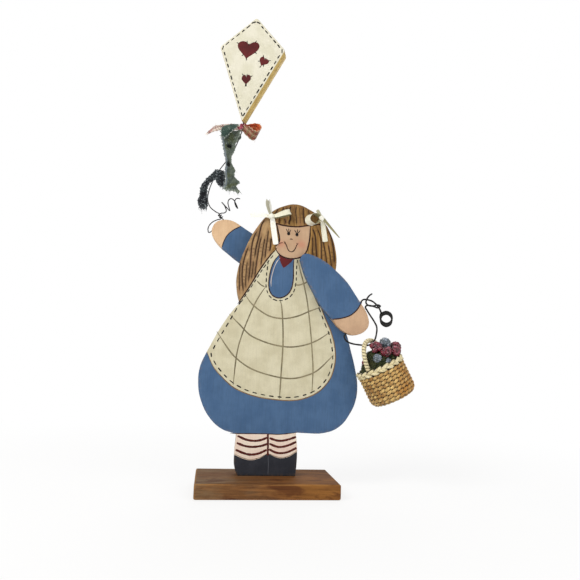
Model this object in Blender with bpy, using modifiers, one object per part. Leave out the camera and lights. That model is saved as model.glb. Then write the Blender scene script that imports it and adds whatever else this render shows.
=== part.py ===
# Wooden figurine: a painted scroll-sawn girl on a plank, with a kite on a wire and a basket on a wire.
# Metres, +Z up. X runs to the viewer's right, the painted side faces -Y, and the origin is the middle of
# the plank's underside.

import math

import bmesh
import bpy
from mathutils import Matrix, Vector

MM = 0.001

# Clearances
GAP = 0.3 * MM  # between pieces that touch
BORE_PLAY = 0.3 * MM  # between a wire and the wood it runs through
LEAST_WIRE_GAP = 0.4 * MM  # least room that a wire keeps to itself

# Plank
BASE_LENGTH = 121 * MM
BASE_DEPTH = 68 * MM
BASE_THICKNESS = 12.7 * MM
BASE_ROUNDING = 1.6 * MM

# Screws up through the plank into the shoes
SCREW_RADIUS = 1.75 * MM
SCREW_HEAD_RADIUS = 3.6 * MM
SCREW_HEAD_HEIGHT = 2.8 * MM
SCREW_LENGTH = 28 * MM
SCREW_SINK = 0.5 * MM  # head below the underside
SCREW_SPACING = 28 * MM
SCREW_RECESS = 0.6 * MM  # depth of the cross in the head

# Painted figure, heights counted from the plank's top
BODY_THICKNESS = 12.7 * MM
BODY_FRONT = 0.0 * MM  # y of the painted face
BODY_EDGE = 0.8 * MM  # sanded edges
SHOE_HALF_WIDTH = 26.5 * MM
HEM_HEIGHT = 36.5 * MM
SKIRT_LEFT = 62 * MM
SKIRT_RIGHT = 81 * MM
SKIRT_HEIGHT = 82 * MM  # where the skirt is widest
WAIST_HEIGHT = 150 * MM
HAIR_LEFT = 32 * MM
HAIR_RIGHT = 59 * MM
HAIR_HEIGHT = 188 * MM  # where the hair is widest
HEAD_MIDDLE = 19 * MM  # x of the crown
HEAD_HEIGHT = 244.5 * MM

# Arms, sawn from thinner board
ARM_THICKNESS = 6.4 * MM
ARM_EDGE = 0.6 * MM
LOW_HAND = Vector((73, 127)) * MM  # middle of the hand, x and height
HIGH_HAND = Vector((-46, 217)) * MM

# Kite
KITE_LENGTH = 105 * MM
KITE_WIDTH = 64 * MM
KITE_CROSS = 31.5 * MM  # from the top corner down to the widest place
KITE_THICKNESS = 12.7 * MM
KITE_CORNER = 2.0 * MM
KITE_LEAN = math.radians(5.6)
KITE_YAW = math.radians(-15)
KITE_TIP = Vector((-32.4, 14.1, 323.3)) * MM  # lower corner, middle of the board
KITE_BORE_DEPTH = 11 * MM

# Wires
KITE_WIRE = 0.95 * MM
BASKET_WIRE = 1.3 * MM
COIL_RADIUS = 5.4 * MM
COIL_TURNS = 3.65
COIL_PITCH = 1.9 * MM
COIL_LEAN = math.radians(38)  # its far turns stand higher
KNOT_TURNS = 2.25
KNOT_RADIUS = 1.47 * MM  # middle of the winding round the straight wire
KITE_WIRE_SHORT = 1.5 * MM  # the wire stops this far from the bottom of the kite's bore

# Basket, in its own frame with the middle of the rim as origin
RIM_RADIUS = 20.8 * MM
RIM_THICKNESS = 3.8 * MM
BASKET_RADIUS = 21.4 * MM
BASKET_HEIGHT = 31 * MM
BASKET_WALL = 2.0 * MM
BASKET_CORNER = 7 * MM
HANDLE_THICKNESS = 4.4 * MM
HANDLE_HEIGHT = 25.7 * MM  # rim to the middle of the handle's top
HANDLE_FOOT = 7 * MM  # how far the handle goes down inside
HANDLE_TURN = math.radians(38)
HOOK_ROOM = 1.0 * MM  # between the handle's top and the wire that bends up under it
BASKET_TILT = math.radians(-27.7)
BASKET_CENTRE = Vector((99, -9, 97.5)) * MM
MOSS_HEIGHT = 16 * MM
MOSS_DEPTH = 14 * MM
MOSS_ROOM = 1.2 * MM  # between the moss and the handle's outer side
BERRY_NEST = 0.48 * MM  # room round a berry in the moss

# Cloth
RIBBON_WIDTH = 4.8 * MM
RIBBON_THICKNESS = 0.8 * MM
RAG_THICKNESS = 1.3 * MM

TOP = BASE_THICKNESS + GAP  # the figure stands here


def clear_scene():
    for thing in list(bpy.data.objects):
        bpy.data.objects.remove(thing, do_unlink=True)


def new_collection(name):
    collection = bpy.data.collections.new(name)
    bpy.context.scene.collection.children.link(collection)
    return collection


clear_scene()
PARTS = new_collection("wooden_figurine")
CUTTERS = new_collection("cutters")


def finish_of(name, colour, roughness=0.6, metallic=0.0):
    material = bpy.data.materials.new(name)
    material.use_nodes = True
    shader = material.node_tree.nodes["Principled BSDF"]
    shader.inputs["Base Color"].default_value = (*colour, 1)
    shader.inputs["Roughness"].default_value = roughness
    shader.inputs["Metallic"].default_value = metallic
    return material


def file_under(thing, collection):
    for holder in list(thing.users_collection):
        holder.objects.unlink(thing)
    collection.objects.link(thing)


def as_part(thing, name, material, smooth=0.0):
    thing.name = name
    thing.data.name = name
    thing.data.materials.clear()
    thing.data.materials.append(material)
    if smooth:
        thing.data.shade_smooth()
        thing.data.set_sharp_from_angle(angle=math.radians(smooth))
    file_under(thing, PARTS)
    return thing


def as_cutter(thing, name):
    thing.name = name
    thing.hide_render = True
    thing.display_type = "WIRE"
    file_under(thing, CUTTERS)
    return thing


def to_mesh(thing):
    """The evaluated shape as a plain mesh object, with its caps welded."""
    bpy.context.view_layer.update()
    graph = bpy.context.evaluated_depsgraph_get()
    mesh = bpy.data.meshes.new_from_object(thing.evaluated_get(graph))
    shape = bmesh.new()
    shape.from_mesh(mesh)
    bmesh.ops.remove_doubles(shape, verts=shape.verts, dist=0.00001)
    shape.to_mesh(mesh)
    shape.free()
    made = bpy.data.objects.new(thing.name + "_mesh", mesh)
    made.matrix_world = thing.matrix_world.copy()
    bpy.context.scene.collection.objects.link(made)
    bpy.data.objects.remove(thing, do_unlink=True)
    return made


def boolean(thing, other, operation):
    step = thing.modifiers.new(operation.lower(), "BOOLEAN")
    step.operation = operation
    step.solver = "EXACT"
    step.object = other


def joined(things):
    """One body from overlapping shapes."""
    first = things[0]
    for other in things[1:]:
        boolean(first, other, "UNION")
    whole = to_mesh(first)
    for other in things[1:]:
        bpy.data.objects.remove(other, do_unlink=True)
    return whole


def smooth_route(points, step):
    """Points about one step apart on a smooth curve through the route's own points."""
    points = [Vector(p) for p in points]
    padded = [2 * points[0] - points[1], *points, 2 * points[-1] - points[-2]]
    route = []
    for before, start, end, after in zip(padded, padded[1:], padded[2:], padded[3:]):
        count = max(1, round((end - start).length / step))
        for i in range(count):
            t = i / count
            route.append(
                0.5
                * (
                    2 * start
                    + (end - before) * t
                    + (2 * before - 5 * start + 4 * end - after) * t * t
                    + (3 * start - before - 3 * end + after) * t * t * t
                )
            )
    route.append(points[-1])
    return route


def tube(name, points, radius, resolution=1):
    """A round wire through the points, with closed ends."""
    curve = bpy.data.curves.new(name, "CURVE")
    curve.dimensions = "3D"
    curve.bevel_depth = radius
    curve.bevel_resolution = resolution
    curve.use_fill_caps = True
    spline = curve.splines.new("POLY")
    spline.points.add(len(points) - 1)
    for spot, point in zip(spline.points, points):
        spot.co = (*point, 1)
    made = bpy.data.objects.new(name, curve)
    bpy.context.scene.collection.objects.link(made)
    return made


def least_gap_to_itself(name, points, diameter):
    """Prints the least room between stretches of a wire that aren't neighbours along it."""
    along = [0.0]
    for a, b in zip(points, points[1:]):
        along.append(along[-1] + (b - a).length)
    least = math.inf
    for i, p in enumerate(points):
        for j in range(i + 1, len(points)):
            if along[j] - along[i] > 3.2 * diameter:
                least = min(least, (points[j] - p).length)
    print(f"{name}: least gap to itself {(least - diameter) / MM:.2f} mm, wanted over {LEAST_WIRE_GAP / MM:.1f}")


def board(name, outline, thickness, middle, edge):
    """A sawn board in the XZ plane. A point of the outline is (x, z) on a bend or (x, z, 1) at a corner."""
    curve = bpy.data.curves.new(name, "CURVE")
    curve.dimensions = "2D"
    curve.fill_mode = "BOTH"
    curve.extrude = thickness / 2
    curve.resolution_u = 4
    spline = curve.splines.new("BEZIER")
    spline.bezier_points.add(len(outline) - 1)
    for spot, point in zip(spline.bezier_points, outline):
        spot.co = (point[0], point[1], 0)
        kind = "VECTOR" if len(point) > 2 else "AUTO"
        spot.handle_left_type = kind
        spot.handle_right_type = kind
    spline.use_cyclic_u = True
    sawn = bpy.data.objects.new(name, curve)
    sawn.rotation_euler = (math.pi / 2, 0, 0)
    sawn.location = (0, middle, 0)
    bpy.context.scene.collection.objects.link(sawn)
    sawn = to_mesh(sawn)
    if edge:
        rounding = sawn.modifiers.new("sanded", "BEVEL")
        rounding.width = edge
        rounding.segments = 2
        rounding.limit_method = "ANGLE"
        rounding.angle_limit = math.radians(50)
    return sawn


def turned(name, profile, steps=24):
    """A round piece about Z from a profile of (radius, height) that runs top to bottom."""
    mesh = bpy.data.meshes.new(name)
    shape = bmesh.new()
    spots = [shape.verts.new((r, 0, z)) for r, z in profile]
    for a, b in zip(spots, spots[1:]):
        shape.edges.new((a, b))
    shape.to_mesh(mesh)
    shape.free()
    made = bpy.data.objects.new(name, mesh)
    bpy.context.scene.collection.objects.link(made)
    spin = made.modifiers.new("turned", "SCREW")
    spin.steps = steps
    spin.render_steps = steps
    spin.use_merge_vertices = True
    spin.merge_threshold = 0.00001
    return made


def ball(name, place, radius, detail=2):
    bpy.ops.mesh.primitive_ico_sphere_add(subdivisions=detail, radius=radius, location=place)
    made = bpy.context.object
    made.name = name
    return made


def strip(name, route, widths, across, folds, thickness, stations, waves=1.5, columns=6):
    """Cloth along a route. Its width lies along `across`, and `folds` is how deep its pleats stand."""
    centre = smooth_route(route, 0.2 * MM)

    def at(values, t):
        place = t * (len(values) - 1)
        i = min(int(place), len(values) - 2)
        return values[i] + (values[i + 1] - values[i]) * (place - i)

    mesh = bpy.data.meshes.new(name)
    shape = bmesh.new()
    bmesh.ops.create_grid(shape, x_segments=columns, y_segments=stations, size=1)
    for vert in shape.verts:
        s = vert.co.x
        t = (vert.co.y + 1) / 2
        i = min(round(t * (len(centre) - 1)), len(centre) - 2)
        along = (centre[min(i + 3, len(centre) - 1)] - centre[max(i - 3, 0)]).normalized()
        side = at([Vector(a) for a in across], t)
        side = (side - along * side.dot(along)).normalized()
        out = along.cross(side)
        wave = math.sin(math.pi * waves * s + 5 * t)
        vert.co = centre[i] + side * (s * at(widths, t) / 2) + out * (at(folds, t) * wave)
    shape.to_mesh(mesh)
    shape.free()
    made = bpy.data.objects.new(name, mesh)
    bpy.context.scene.collection.objects.link(made)
    wall = made.modifiers.new("cloth", "SOLIDIFY")
    wall.thickness = thickness
    wall.offset = 0
    return to_mesh(made)


def empty_at(name, place):
    mark = bpy.data.objects.new(name, None)
    mark.location = place
    mark.empty_display_size = 0.01
    PARTS.objects.link(mark)
    return mark


def hang_on(parent, things):
    bpy.context.view_layer.update()
    for thing in things:
        thing.parent = parent
        thing.matrix_parent_inverse = parent.matrix_world.inverted()


STAIN = finish_of("walnut_stain", (0.21, 0.09, 0.03), 0.55)
BLUE = finish_of("dress_blue", (0.07, 0.14, 0.26), 0.7)
SKIN = finish_of("skin_paint", (0.58, 0.35, 0.22), 0.7)
CREAM = finish_of("cream_paint", (0.78, 0.74, 0.58), 0.7)
STEEL = finish_of("zinc_steel", (0.6, 0.6, 0.58), 0.35, 1.0)
IRON = finish_of("black_wire", (0.015, 0.014, 0.013), 0.45, 0.8)
STRAW = finish_of("straw", (0.58, 0.38, 0.12), 0.75)
PALE_STRAW = finish_of("pale_straw", (0.8, 0.69, 0.4), 0.75)
MOSS = finish_of("moss", (0.03, 0.05, 0.015), 0.95)
RED_BERRY = finish_of("red_berry", (0.22, 0.02, 0.045), 0.5)
GREY_BERRY = finish_of("grey_berry", (0.24, 0.28, 0.33), 0.5)
RIBBON = finish_of("cream_ribbon", (0.87, 0.86, 0.74), 0.6)
GREEN_RAG = finish_of("green_rag", (0.07, 0.11, 0.09), 0.9)
NAVY_RAG = finish_of("navy_rag", (0.012, 0.015, 0.022), 0.9)
PLAID_RAG = finish_of("plaid_rag", (0.45, 0.16, 0.07), 0.9)


def figure_points(points):
    """Outline points given in millimetres from the plank's top, as metres in the part's frame."""
    return [(p[0] * MM, p[1] * MM + TOP, *p[2:]) for p in points]


def screw_profile(extra=0.0):
    """A countersunk screw from its point down to its head, or with `extra` the hole for it."""
    tip = SCREW_LENGTH + SCREW_SINK + extra
    neck = SCREW_SINK + SCREW_HEAD_HEIGHT + extra
    shank = SCREW_RADIUS + extra
    head = SCREW_HEAD_RADIUS + extra
    foot = -1 * MM if extra else SCREW_SINK
    return [
        (0, tip),
        (shank * 0.5, tip - 0.5 * MM),
        (shank, tip - 3 * MM),
        (shank, neck),
        (head, SCREW_SINK + 0.3 * MM),
        (head, foot),
        (0, foot),
    ]


def make_base():
    bpy.ops.mesh.primitive_cube_add(size=1, location=(0, 0, BASE_THICKNESS / 2))
    plank = bpy.context.object
    plank.scale = (BASE_LENGTH, BASE_DEPTH, BASE_THICKNESS)
    bpy.ops.object.transform_apply(location=False, rotation=False, scale=True)
    rounding = plank.modifiers.new("eased", "BEVEL")
    rounding.width = BASE_ROUNDING
    rounding.segments = 3
    return as_part(plank, "base_plank", STAIN, 35)


def screw_places():
    middle = BODY_FRONT + BODY_THICKNESS / 2
    return [("left", -SCREW_SPACING / 2, middle), ("right", SCREW_SPACING / 2, middle)]


def make_screws(plank, body):
    for side, x, y in screw_places():
        screw = turned("base_screw_" + side, screw_profile())
        screw.location = (x, y, 0)
        slots = []
        for angle in (0, math.pi / 2):
            bpy.ops.mesh.primitive_cube_add(size=1, location=(x, y, SCREW_SINK))
            slot = bpy.context.object
            slot.scale = (SCREW_HEAD_RADIUS * 1.1, 0.8 * MM, 2 * SCREW_RECESS)
            slot.rotation_euler = (0, 0, angle)
            slots.append(as_cutter(slot, f"cross_{side}_{len(slots)}"))
        as_part(screw, "base_screw_" + side, STEEL, 40)
        for slot in slots:
            boolean(screw, slot, "DIFFERENCE")
        hole = turned("screw_hole_" + side, screw_profile(GAP))
        hole.location = (x, y, 0)
        as_cutter(hole, "screw_hole_" + side)
        boolean(plank, hole, "DIFFERENCE")
        boolean(body, hole, "DIFFERENCE")


def body_outline():
    """The sawn outline from the left shoe round the dress, hair and head to the right shoe."""
    hem = HEM_HEIGHT / MM
    left = SKIRT_LEFT / MM
    right = SKIRT_RIGHT / MM
    wide = SKIRT_HEIGHT / MM
    waist = WAIST_HEIGHT / MM
    shoe = SHOE_HALF_WIDTH / MM
    hair = HAIR_HEIGHT / MM
    crown = HEAD_HEIGHT / MM
    middle = HEAD_MIDDLE / MM
    return figure_points(
        [
            (-shoe + 2.5, 0, 1),
            (-shoe + 0.2, 4),
            (-shoe - 0.8, 17),
            (-shoe + 0.2, hem - 2, 1),
            (-shoe - 4, hem - 0.3),
            (-left + 23, hem + 2.5),
            (-left + 12, hem + 11.5),
            (-left + 3, wide - 18),
            (-left, wide - 3),
            (-left + 1, wide + 11),
            (-left + 6, wide + 23.5, 1),
            (-left + 18, waist - 21),
            (-left + 29, waist - 4.5),
            (-HAIR_LEFT / MM + 3.5, waist + 0.5, 1),
            (-HAIR_LEFT / MM + 0.6, waist + (hair - waist) * 12 / 38),
            (-HAIR_LEFT / MM, waist + (hair - waist) * 28 / 38),
            (-HAIR_LEFT / MM + 6.5, hair + 13),
            (-HAIR_LEFT / MM + 16, crown - 24),
            (middle - 23, crown - 9.5),
            (middle - 11, crown - 2.5),
            (middle + 1, crown),
            (middle + 13, crown - 4),
            (middle + 25, crown - 12.5),
            (HAIR_RIGHT / MM - 5, hair + 28),
            (HAIR_RIGHT / MM - 1.5, hair + 17),
            (HAIR_RIGHT / MM, hair + 4),
            (HAIR_RIGHT / MM - 1.5, waist + (hair - waist) * 29 / 38),
            (HAIR_RIGHT / MM - 3, waist + (hair - waist) * 12 / 38, 1),
            (right - 20, waist - 10),
            (right - 12, wide + 46),
            (right - 7, wide + 30),
            (right - 2, wide + 11),
            (right, wide - 3),
            (right - 1.5, wide - 16),
            (right - 6, wide - 26.5),
            (right - 16, hem + 6.5),
            (right - 29, hem + 1),
            (shoe + 7, hem + 0.5),
            (shoe - 0.5, hem + 0.8, 1),
            (shoe + 1, hem - 13),
            (shoe + 0.8, 8),
            (shoe, 0, 1),
        ]
    )


def make_body():
    middle = BODY_FRONT + BODY_THICKNESS / 2
    body = board("body_board", body_outline(), BODY_THICKNESS, middle, BODY_EDGE)
    return as_part(body, "body_board", BLUE, 35)


def low_arm_outline():
    """The lowered arm from the shoulder down the sleeve, round the hand and back."""
    x, z = LOW_HAND / MM
    return figure_points(
        [
            (x - 49, z + 65, 1),
            (x - 46, z + 70),
            (x - 37, z + 69),
            (x - 26, z + 64),
            (x - 15.5, z + 56),
            (x - 5, z + 46),
            (x + 2.5, z + 35.5),
            (x + 8.5, z + 27, 1),
            (x + 12, z + 22),
            (x + 15, z + 15.5),
            (x + 15.8, z + 8),
            (x + 13, z + 3),
            (x + 7.5, z - 0.6),
            (x, z - 1.8),
            (x - 6.5, z + 0.8),
            (x - 13, z + 5.6),
            (x - 17, z + 10.5, 1),
            (x - 28, z + 22.5),
            (x - 37, z + 37.5),
            (x - 44, z + 50.5),
        ]
    )


def low_bore():
    """Ends of the slanting hole through the lowered hand, in the middle of the board."""
    x, z = LOW_HAND
    y = BODY_FRONT - GAP - ARM_THICKNESS / 2
    low = Vector((x - 4.8 * MM, y, z - 0.4 * MM + TOP))
    high = Vector((x + 8.4 * MM, y, z + 28.0 * MM + TOP))
    return low, high


def high_arm_outline():
    """The raised arm: the hand, the sleeve, and the glued part behind the hair."""
    x, z = HIGH_HAND / MM
    return figure_points(
        [
            (x - 1, z - 15, 1),
            (x - 5, z - 11),
            (x - 9, z - 5.5),
            (x - 11, z + 0.5),
            (x - 10.2, z + 4.5),
            (x - 7, z + 9.2),
            (x - 2, z + 11.4),
            (x + 4, z + 11.8),
            (x + 10, z + 10.2),
            (x + 15.5, z + 7, 1),
            (x + 22, z + 3),
            (x + 40, z - 8),
            (x + 52, z - 20),
            (x + 50, z - 34),
            (x + 36, z - 37),
            (x + 16, z - 27.5),
            (x + 5, z - 19.5),
        ]
    )


def high_bore():
    """Ends of the short hole through the edge of the raised hand, from its top to its left side."""
    x, z = HIGH_HAND
    y = BODY_FRONT + BODY_THICKNESS + GAP + ARM_THICKNESS / 2
    left = Vector((x - 11.2 * MM, y, z + 1.0 * MM + TOP))
    top = Vector((x - 1.6 * MM, y, z + 11.6 * MM + TOP))
    return left, top


def drill(name, start, end, radius, spare=2 * MM):
    along = (end - start).normalized()
    route = [start - along * spare, end + along * spare]
    return as_cutter(to_mesh(tube(name, route, radius, 4)), name)


def make_arms():
    low_middle = BODY_FRONT - GAP - ARM_THICKNESS / 2
    high_middle = BODY_FRONT + BODY_THICKNESS + GAP + ARM_THICKNESS / 2
    low = board("lowered_arm", low_arm_outline(), ARM_THICKNESS, low_middle, ARM_EDGE)
    high = board("raised_arm", high_arm_outline(), ARM_THICKNESS, high_middle, ARM_EDGE)
    as_part(low, "lowered_arm", BLUE, 35)
    as_part(high, "raised_arm", BLUE, 35)
    boolean(low, drill("low_hand_bore", *low_bore(), BASKET_WIRE / 2 + BORE_PLAY), "DIFFERENCE")
    boolean(high, drill("high_hand_bore", *high_bore(), KITE_WIRE / 2 + BORE_PLAY), "DIFFERENCE")


def kite_frame():
    """The kite's own axes: X across, Y into the board, Z up the spine, from its lower corner."""
    turn = Matrix.Rotation(KITE_YAW, 4, "Z") @ Matrix.Rotation(KITE_LEAN, 4, "Y")
    return Matrix.Translation(KITE_TIP + Vector((0, 0, TOP))) @ turn


def make_kite():
    half = KITE_WIDTH / 2
    cross = KITE_LENGTH - KITE_CROSS
    corners = [Vector((0, 0)), Vector((-half, cross)), Vector((0, KITE_LENGTH)), Vector((half, cross))]
    outline = []
    for i, corner in enumerate(corners):
        before = (corners[i - 1] - corner).normalized()
        after = (corners[(i + 1) % 4] - corner).normalized()
        outline.append((*(corner + before * KITE_CORNER), 1))
        outline.append((*(corner + (before + after) * KITE_CORNER * 0.32), 1))
        outline.append((*(corner + after * KITE_CORNER), 1))
    kite = board("kite_board", outline, KITE_THICKNESS, 0, ARM_EDGE)
    kite.matrix_world = kite_frame() @ kite.matrix_world
    as_part(kite, "kite_board", CREAM, 35)
    frame = kite_frame()
    mouth = frame @ Vector((0, 0, -2 * MM))
    bottom = frame @ Vector((0, 0, KITE_BORE_DEPTH))
    boolean(kite, drill("kite_bore", mouth, bottom, KITE_WIRE / 2 + BORE_PLAY, 0), "DIFFERENCE")
    return kite


def turns_round(start, end, radius, turns, first_angle, count=12):
    """Wire wound round the line from start to end."""
    along = (end - start).normalized()
    side = along.cross(Vector((0, 1, 0))).normalized()
    up = along.cross(side)
    points = []
    for i in range(round(turns * count) + 1):
        t = i / (turns * count)
        angle = first_angle + 2 * math.pi * turns * t
        points.append(start.lerp(end, t) + side * radius * math.cos(angle) + up * radius * math.sin(angle))
    return points


def coil_points(centre, radius, turns, pitch, first_angle, lean, count=24):
    """A ring coil about Y, leaning back, from its near end to its far one."""
    turn = Matrix.Rotation(lean, 3, "X")
    points = []
    for i in range(round(turns * count) + 1):
        angle = first_angle - 2 * math.pi * i / count
        away = pitch * (i / count - turns / 2)
        points.append(centre + turn @ Vector((radius * math.cos(angle), away, radius * math.sin(angle))))
    return points


def mm_route(points):
    return [Vector((x * MM, y * MM, z * MM + TOP)) for x, y, z in points]


def kite_wire_route():
    """From the kite's bore down behind the rags, through the raised hand, and up again to a curly end."""
    frame = kite_frame()
    left, top = high_bore()
    along = (top - left).normalized()
    y = left.y / MM
    knot_top = mm_route([(-50.6, y, 234.2)])[0]
    knot_foot = mm_route([(-48.2, y, 230.6)])[0]
    knot_line = (knot_top - knot_foot).normalized()
    down = [frame @ Vector((0, 0, KITE_BORE_DEPTH - KITE_WIRE_SHORT)), frame @ Vector((0, 0, -1 * MM))]
    down += mm_route(
        [
            (-33.6, 14.5, 315),
            (-38, 14.6, 302),
            (-43, 14.6, 291),
            (-47.4, 14.6, 284.5),
            (-53, 14.6, 276),
            (-58.6, 14.7, 265),
            (-61.6, 14.8, 255),
            (-62.2, 15.1, 247),
            (-59.6, 15.5, 240.6),
            (-55, 15.9, 237),
        ]
    )
    into = [knot_top + knot_line * 1.2 * MM, knot_top, knot_foot, top + along * 1.4 * MM, top - along * 1 * MM]
    out = [left - along * 1.6 * MM]
    x, z = left.x / MM, (left.z - TOP) / MM
    out += mm_route([(x - 3.3, y, z + 0.6), (x - 2.6, y, z + 4.6), (x + 0.6, y, z + 8.6), (x + 4.8, y, z + 11)])
    wound = turns_round(knot_foot, knot_top, KNOT_RADIUS, KNOT_TURNS, 0)
    curl = mm_route(
        [
            (-48.7, y - 2.4, 235),
            (-46.2, y - 1.8, 235.6),
            (-44.4, y - 1, 238),
            (-46.4, y - 1.6, 242.6),
            (-48.9, y - 2.6, 245.2),
            (-46.6, y - 4, 242.6),
            (-41.4, y - 4.4, 237.4),
            (-42.4, y - 2.8, 241.6),
            (-43.2, y - 1.6, 245.4),
            (-42.6, y - 1.2, 248.4),
            (-40.4, y - 1, 249.9),
            (-37.6, y - 0.8, 248.4),
            (-34.6, y - 0.6, 243),
            (-33.9, y + 0.4, 241.4),
            (-35.2, y + 1.3, 242.8),
            (-36.8, y + 1.6, 246.6),
            (-36.4, y + 1.8, 250),
            (-34.4, y + 1.8, 251.4),
            (-31.8, y + 1.8, 251),
        ]
    )
    return smooth_route([*down, *into, *out, *wound, *curl], 1.3 * MM)


def basket_wire_route():
    """From the ring coil over the hand, down its bore, under the basket's handle, up and round itself."""
    low, high = low_bore()
    along = (high - low).normalized()
    y = low.y / MM
    hook = hook_place()
    centre = mm_route([(106.2, y, 141.4)])[0]
    coil = coil_points(centre, COIL_RADIUS, COIL_TURNS, COIL_PITCH, math.radians(20), COIL_LEAN)
    arch = mm_route(
        [
            (100.6, y - 1.1, 147.4),
            (99.4, y - 2.3, 149.4),
            (96.8, y - 2, 153.2),
            (92.6, y - 1.4, 156.8),
            (87.8, y - 0.6, 158.4),
            (84, y, 158.2),
        ]
    )
    through = [high + along * 0.6 * MM, high - along * 2 * MM, low + along * 2 * MM, low - along * 1.2 * MM]
    under = mm_route([(66.9, y - 0.8, 123), (69, y - 2.2, 119.6), (74, y - 4, 117.4)])
    under += [hook + Vector((-6 * MM, 0.4 * MM, -0.3 * MM)), hook]
    up = mm_route(
        [
            (93.4, -9.6, 121),
            (95.4, -9, 127),
            (96, -7.4, 133.6),
            (93.6, -4.8, 139.6),
            (90.6, y, 144.4),
            (88, y - 0.6, 148),
            (85.6, y - 2.2, 151.2),
            (87.4, y - 2.6, 152.9),
            (92, y - 3.4, 152.4),
            (96.4, y - 4.4, 151),
            (99.1, y - 3.9, 152.6),
            (97.6, y - 0.6, 154),
            (94.8, y + 0.7, 153.2),
            (90.4, y + 1.2, 153),
            (87.2, y + 1.6, 155.4),
            (87.8, y + 1.6, 159),
            (90, y + 1.2, 162.4),
            (92.8, y + 0.8, 164.4),
        ]
    )
    return coil + smooth_route([*arch, *through, *under, *up], 1.7 * MM)


def basket_frame():
    """The basket's own axes, with the middle of its rim as origin."""
    place = BASKET_CENTRE + Vector((0, 0, TOP))
    return Matrix.Translation(place) @ Matrix.Rotation(BASKET_TILT, 4, "Y")


def hook_place():
    """Where the wire lies under the top of the basket's handle."""
    under = HANDLE_HEIGHT - HANDLE_THICKNESS / 2 - HOOK_ROOM - BASKET_WIRE / 2
    return basket_frame() @ Vector((0, 0, under))


def handle_top():
    """The middle of the handle's top and the direction in which the handle runs there."""
    along = Vector((math.cos(HANDLE_TURN), math.sin(HANDLE_TURN), 0))
    return basket_frame() @ Vector((0, 0, HANDLE_HEIGHT)), basket_frame().to_3x3() @ along


def make_wires():
    made = []
    for name, route, diameter in (
        ("kite_wire", kite_wire_route(), KITE_WIRE),
        ("basket_wire", basket_wire_route(), BASKET_WIRE),
    ):
        least_gap_to_itself(name, route, diameter)
        wire = to_mesh(tube(name, route, diameter / 2))
        made.append(as_part(wire, name, IRON, 60))
    return made


def basket_profile():
    """Down the outside, across the bottom and up the inside, with a rounded lower corner."""
    wall = BASKET_WALL
    top = -RIM_THICKNESS / 2 - GAP
    corner = [math.radians(a) for a in (0, 30, 60, 90)]
    outer = [
        (
            BASKET_RADIUS - BASKET_CORNER * (1 - math.cos(a)),
            -BASKET_HEIGHT + BASKET_CORNER * (1 - math.sin(a)),
        )
        for a in corner
    ]
    inner_corner = BASKET_CORNER - wall
    inner = [
        (
            BASKET_RADIUS - wall - inner_corner * (1 - math.cos(a)),
            -BASKET_HEIGHT + wall + inner_corner * (1 - math.sin(a)),
        )
        for a in reversed(corner)
    ]
    return [
        (BASKET_RADIUS - wall, top),
        (BASKET_RADIUS, top),
        *outer,
        (0, -BASKET_HEIGHT),
    ], [(0, -BASKET_HEIGHT + wall), *inner, (BASKET_RADIUS - wall, top)]


def handle_route():
    reach = BASKET_RADIUS - BASKET_WALL - GAP - HANDLE_THICKNESS / 2
    points = [(-reach, -HANDLE_FOOT), (-reach, -HANDLE_FOOT / 2)]
    for i in range(25):
        angle = math.pi - math.pi * i / 24
        points.append((reach * math.cos(angle), HANDLE_HEIGHT * math.sin(angle)))
    points += [(reach, -HANDLE_FOOT / 2), (reach, -HANDLE_FOOT)]
    turn = Matrix.Rotation(HANDLE_TURN, 3, "Z")
    return [turn @ Vector((x, 0, z)) for x, z in points]


# Each berry: name, place in the basket's frame and radius in millimetres, and its paint
BERRIES = (
    ("berry_red_top", (3.2, -8.0, 18.2), 5.0, RED_BERRY),
    ("berry_red_front", (7.4, -13.6, 11.0), 4.6, RED_BERRY),
    ("berry_red_middle", (17.2, -8.8, 7.4), 4.8, RED_BERRY),
    ("berry_red_right", (21.5, 1.2, 9.4), 5.4, RED_BERRY),
    ("berry_grey_top", (13.2, -3.0, 17.4), 5.2, GREY_BERRY),
    ("berry_grey_front", (-2.2, -14.4, 9.6), 4.0, GREY_BERRY),
    ("berry_grey_low", (5.2, -13.9, 2.6), 3.6, GREY_BERRY),
    ("berry_red_back", (-7.6, 7.6, 7.6), 4.3, RED_BERRY),
    ("berry_grey_back", (-0.5, 14.5, 8.0), 4.8, GREY_BERRY),
    ("berry_red_rear", (9.3, 16.6, 7.5), 4.6, RED_BERRY),
)


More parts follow.
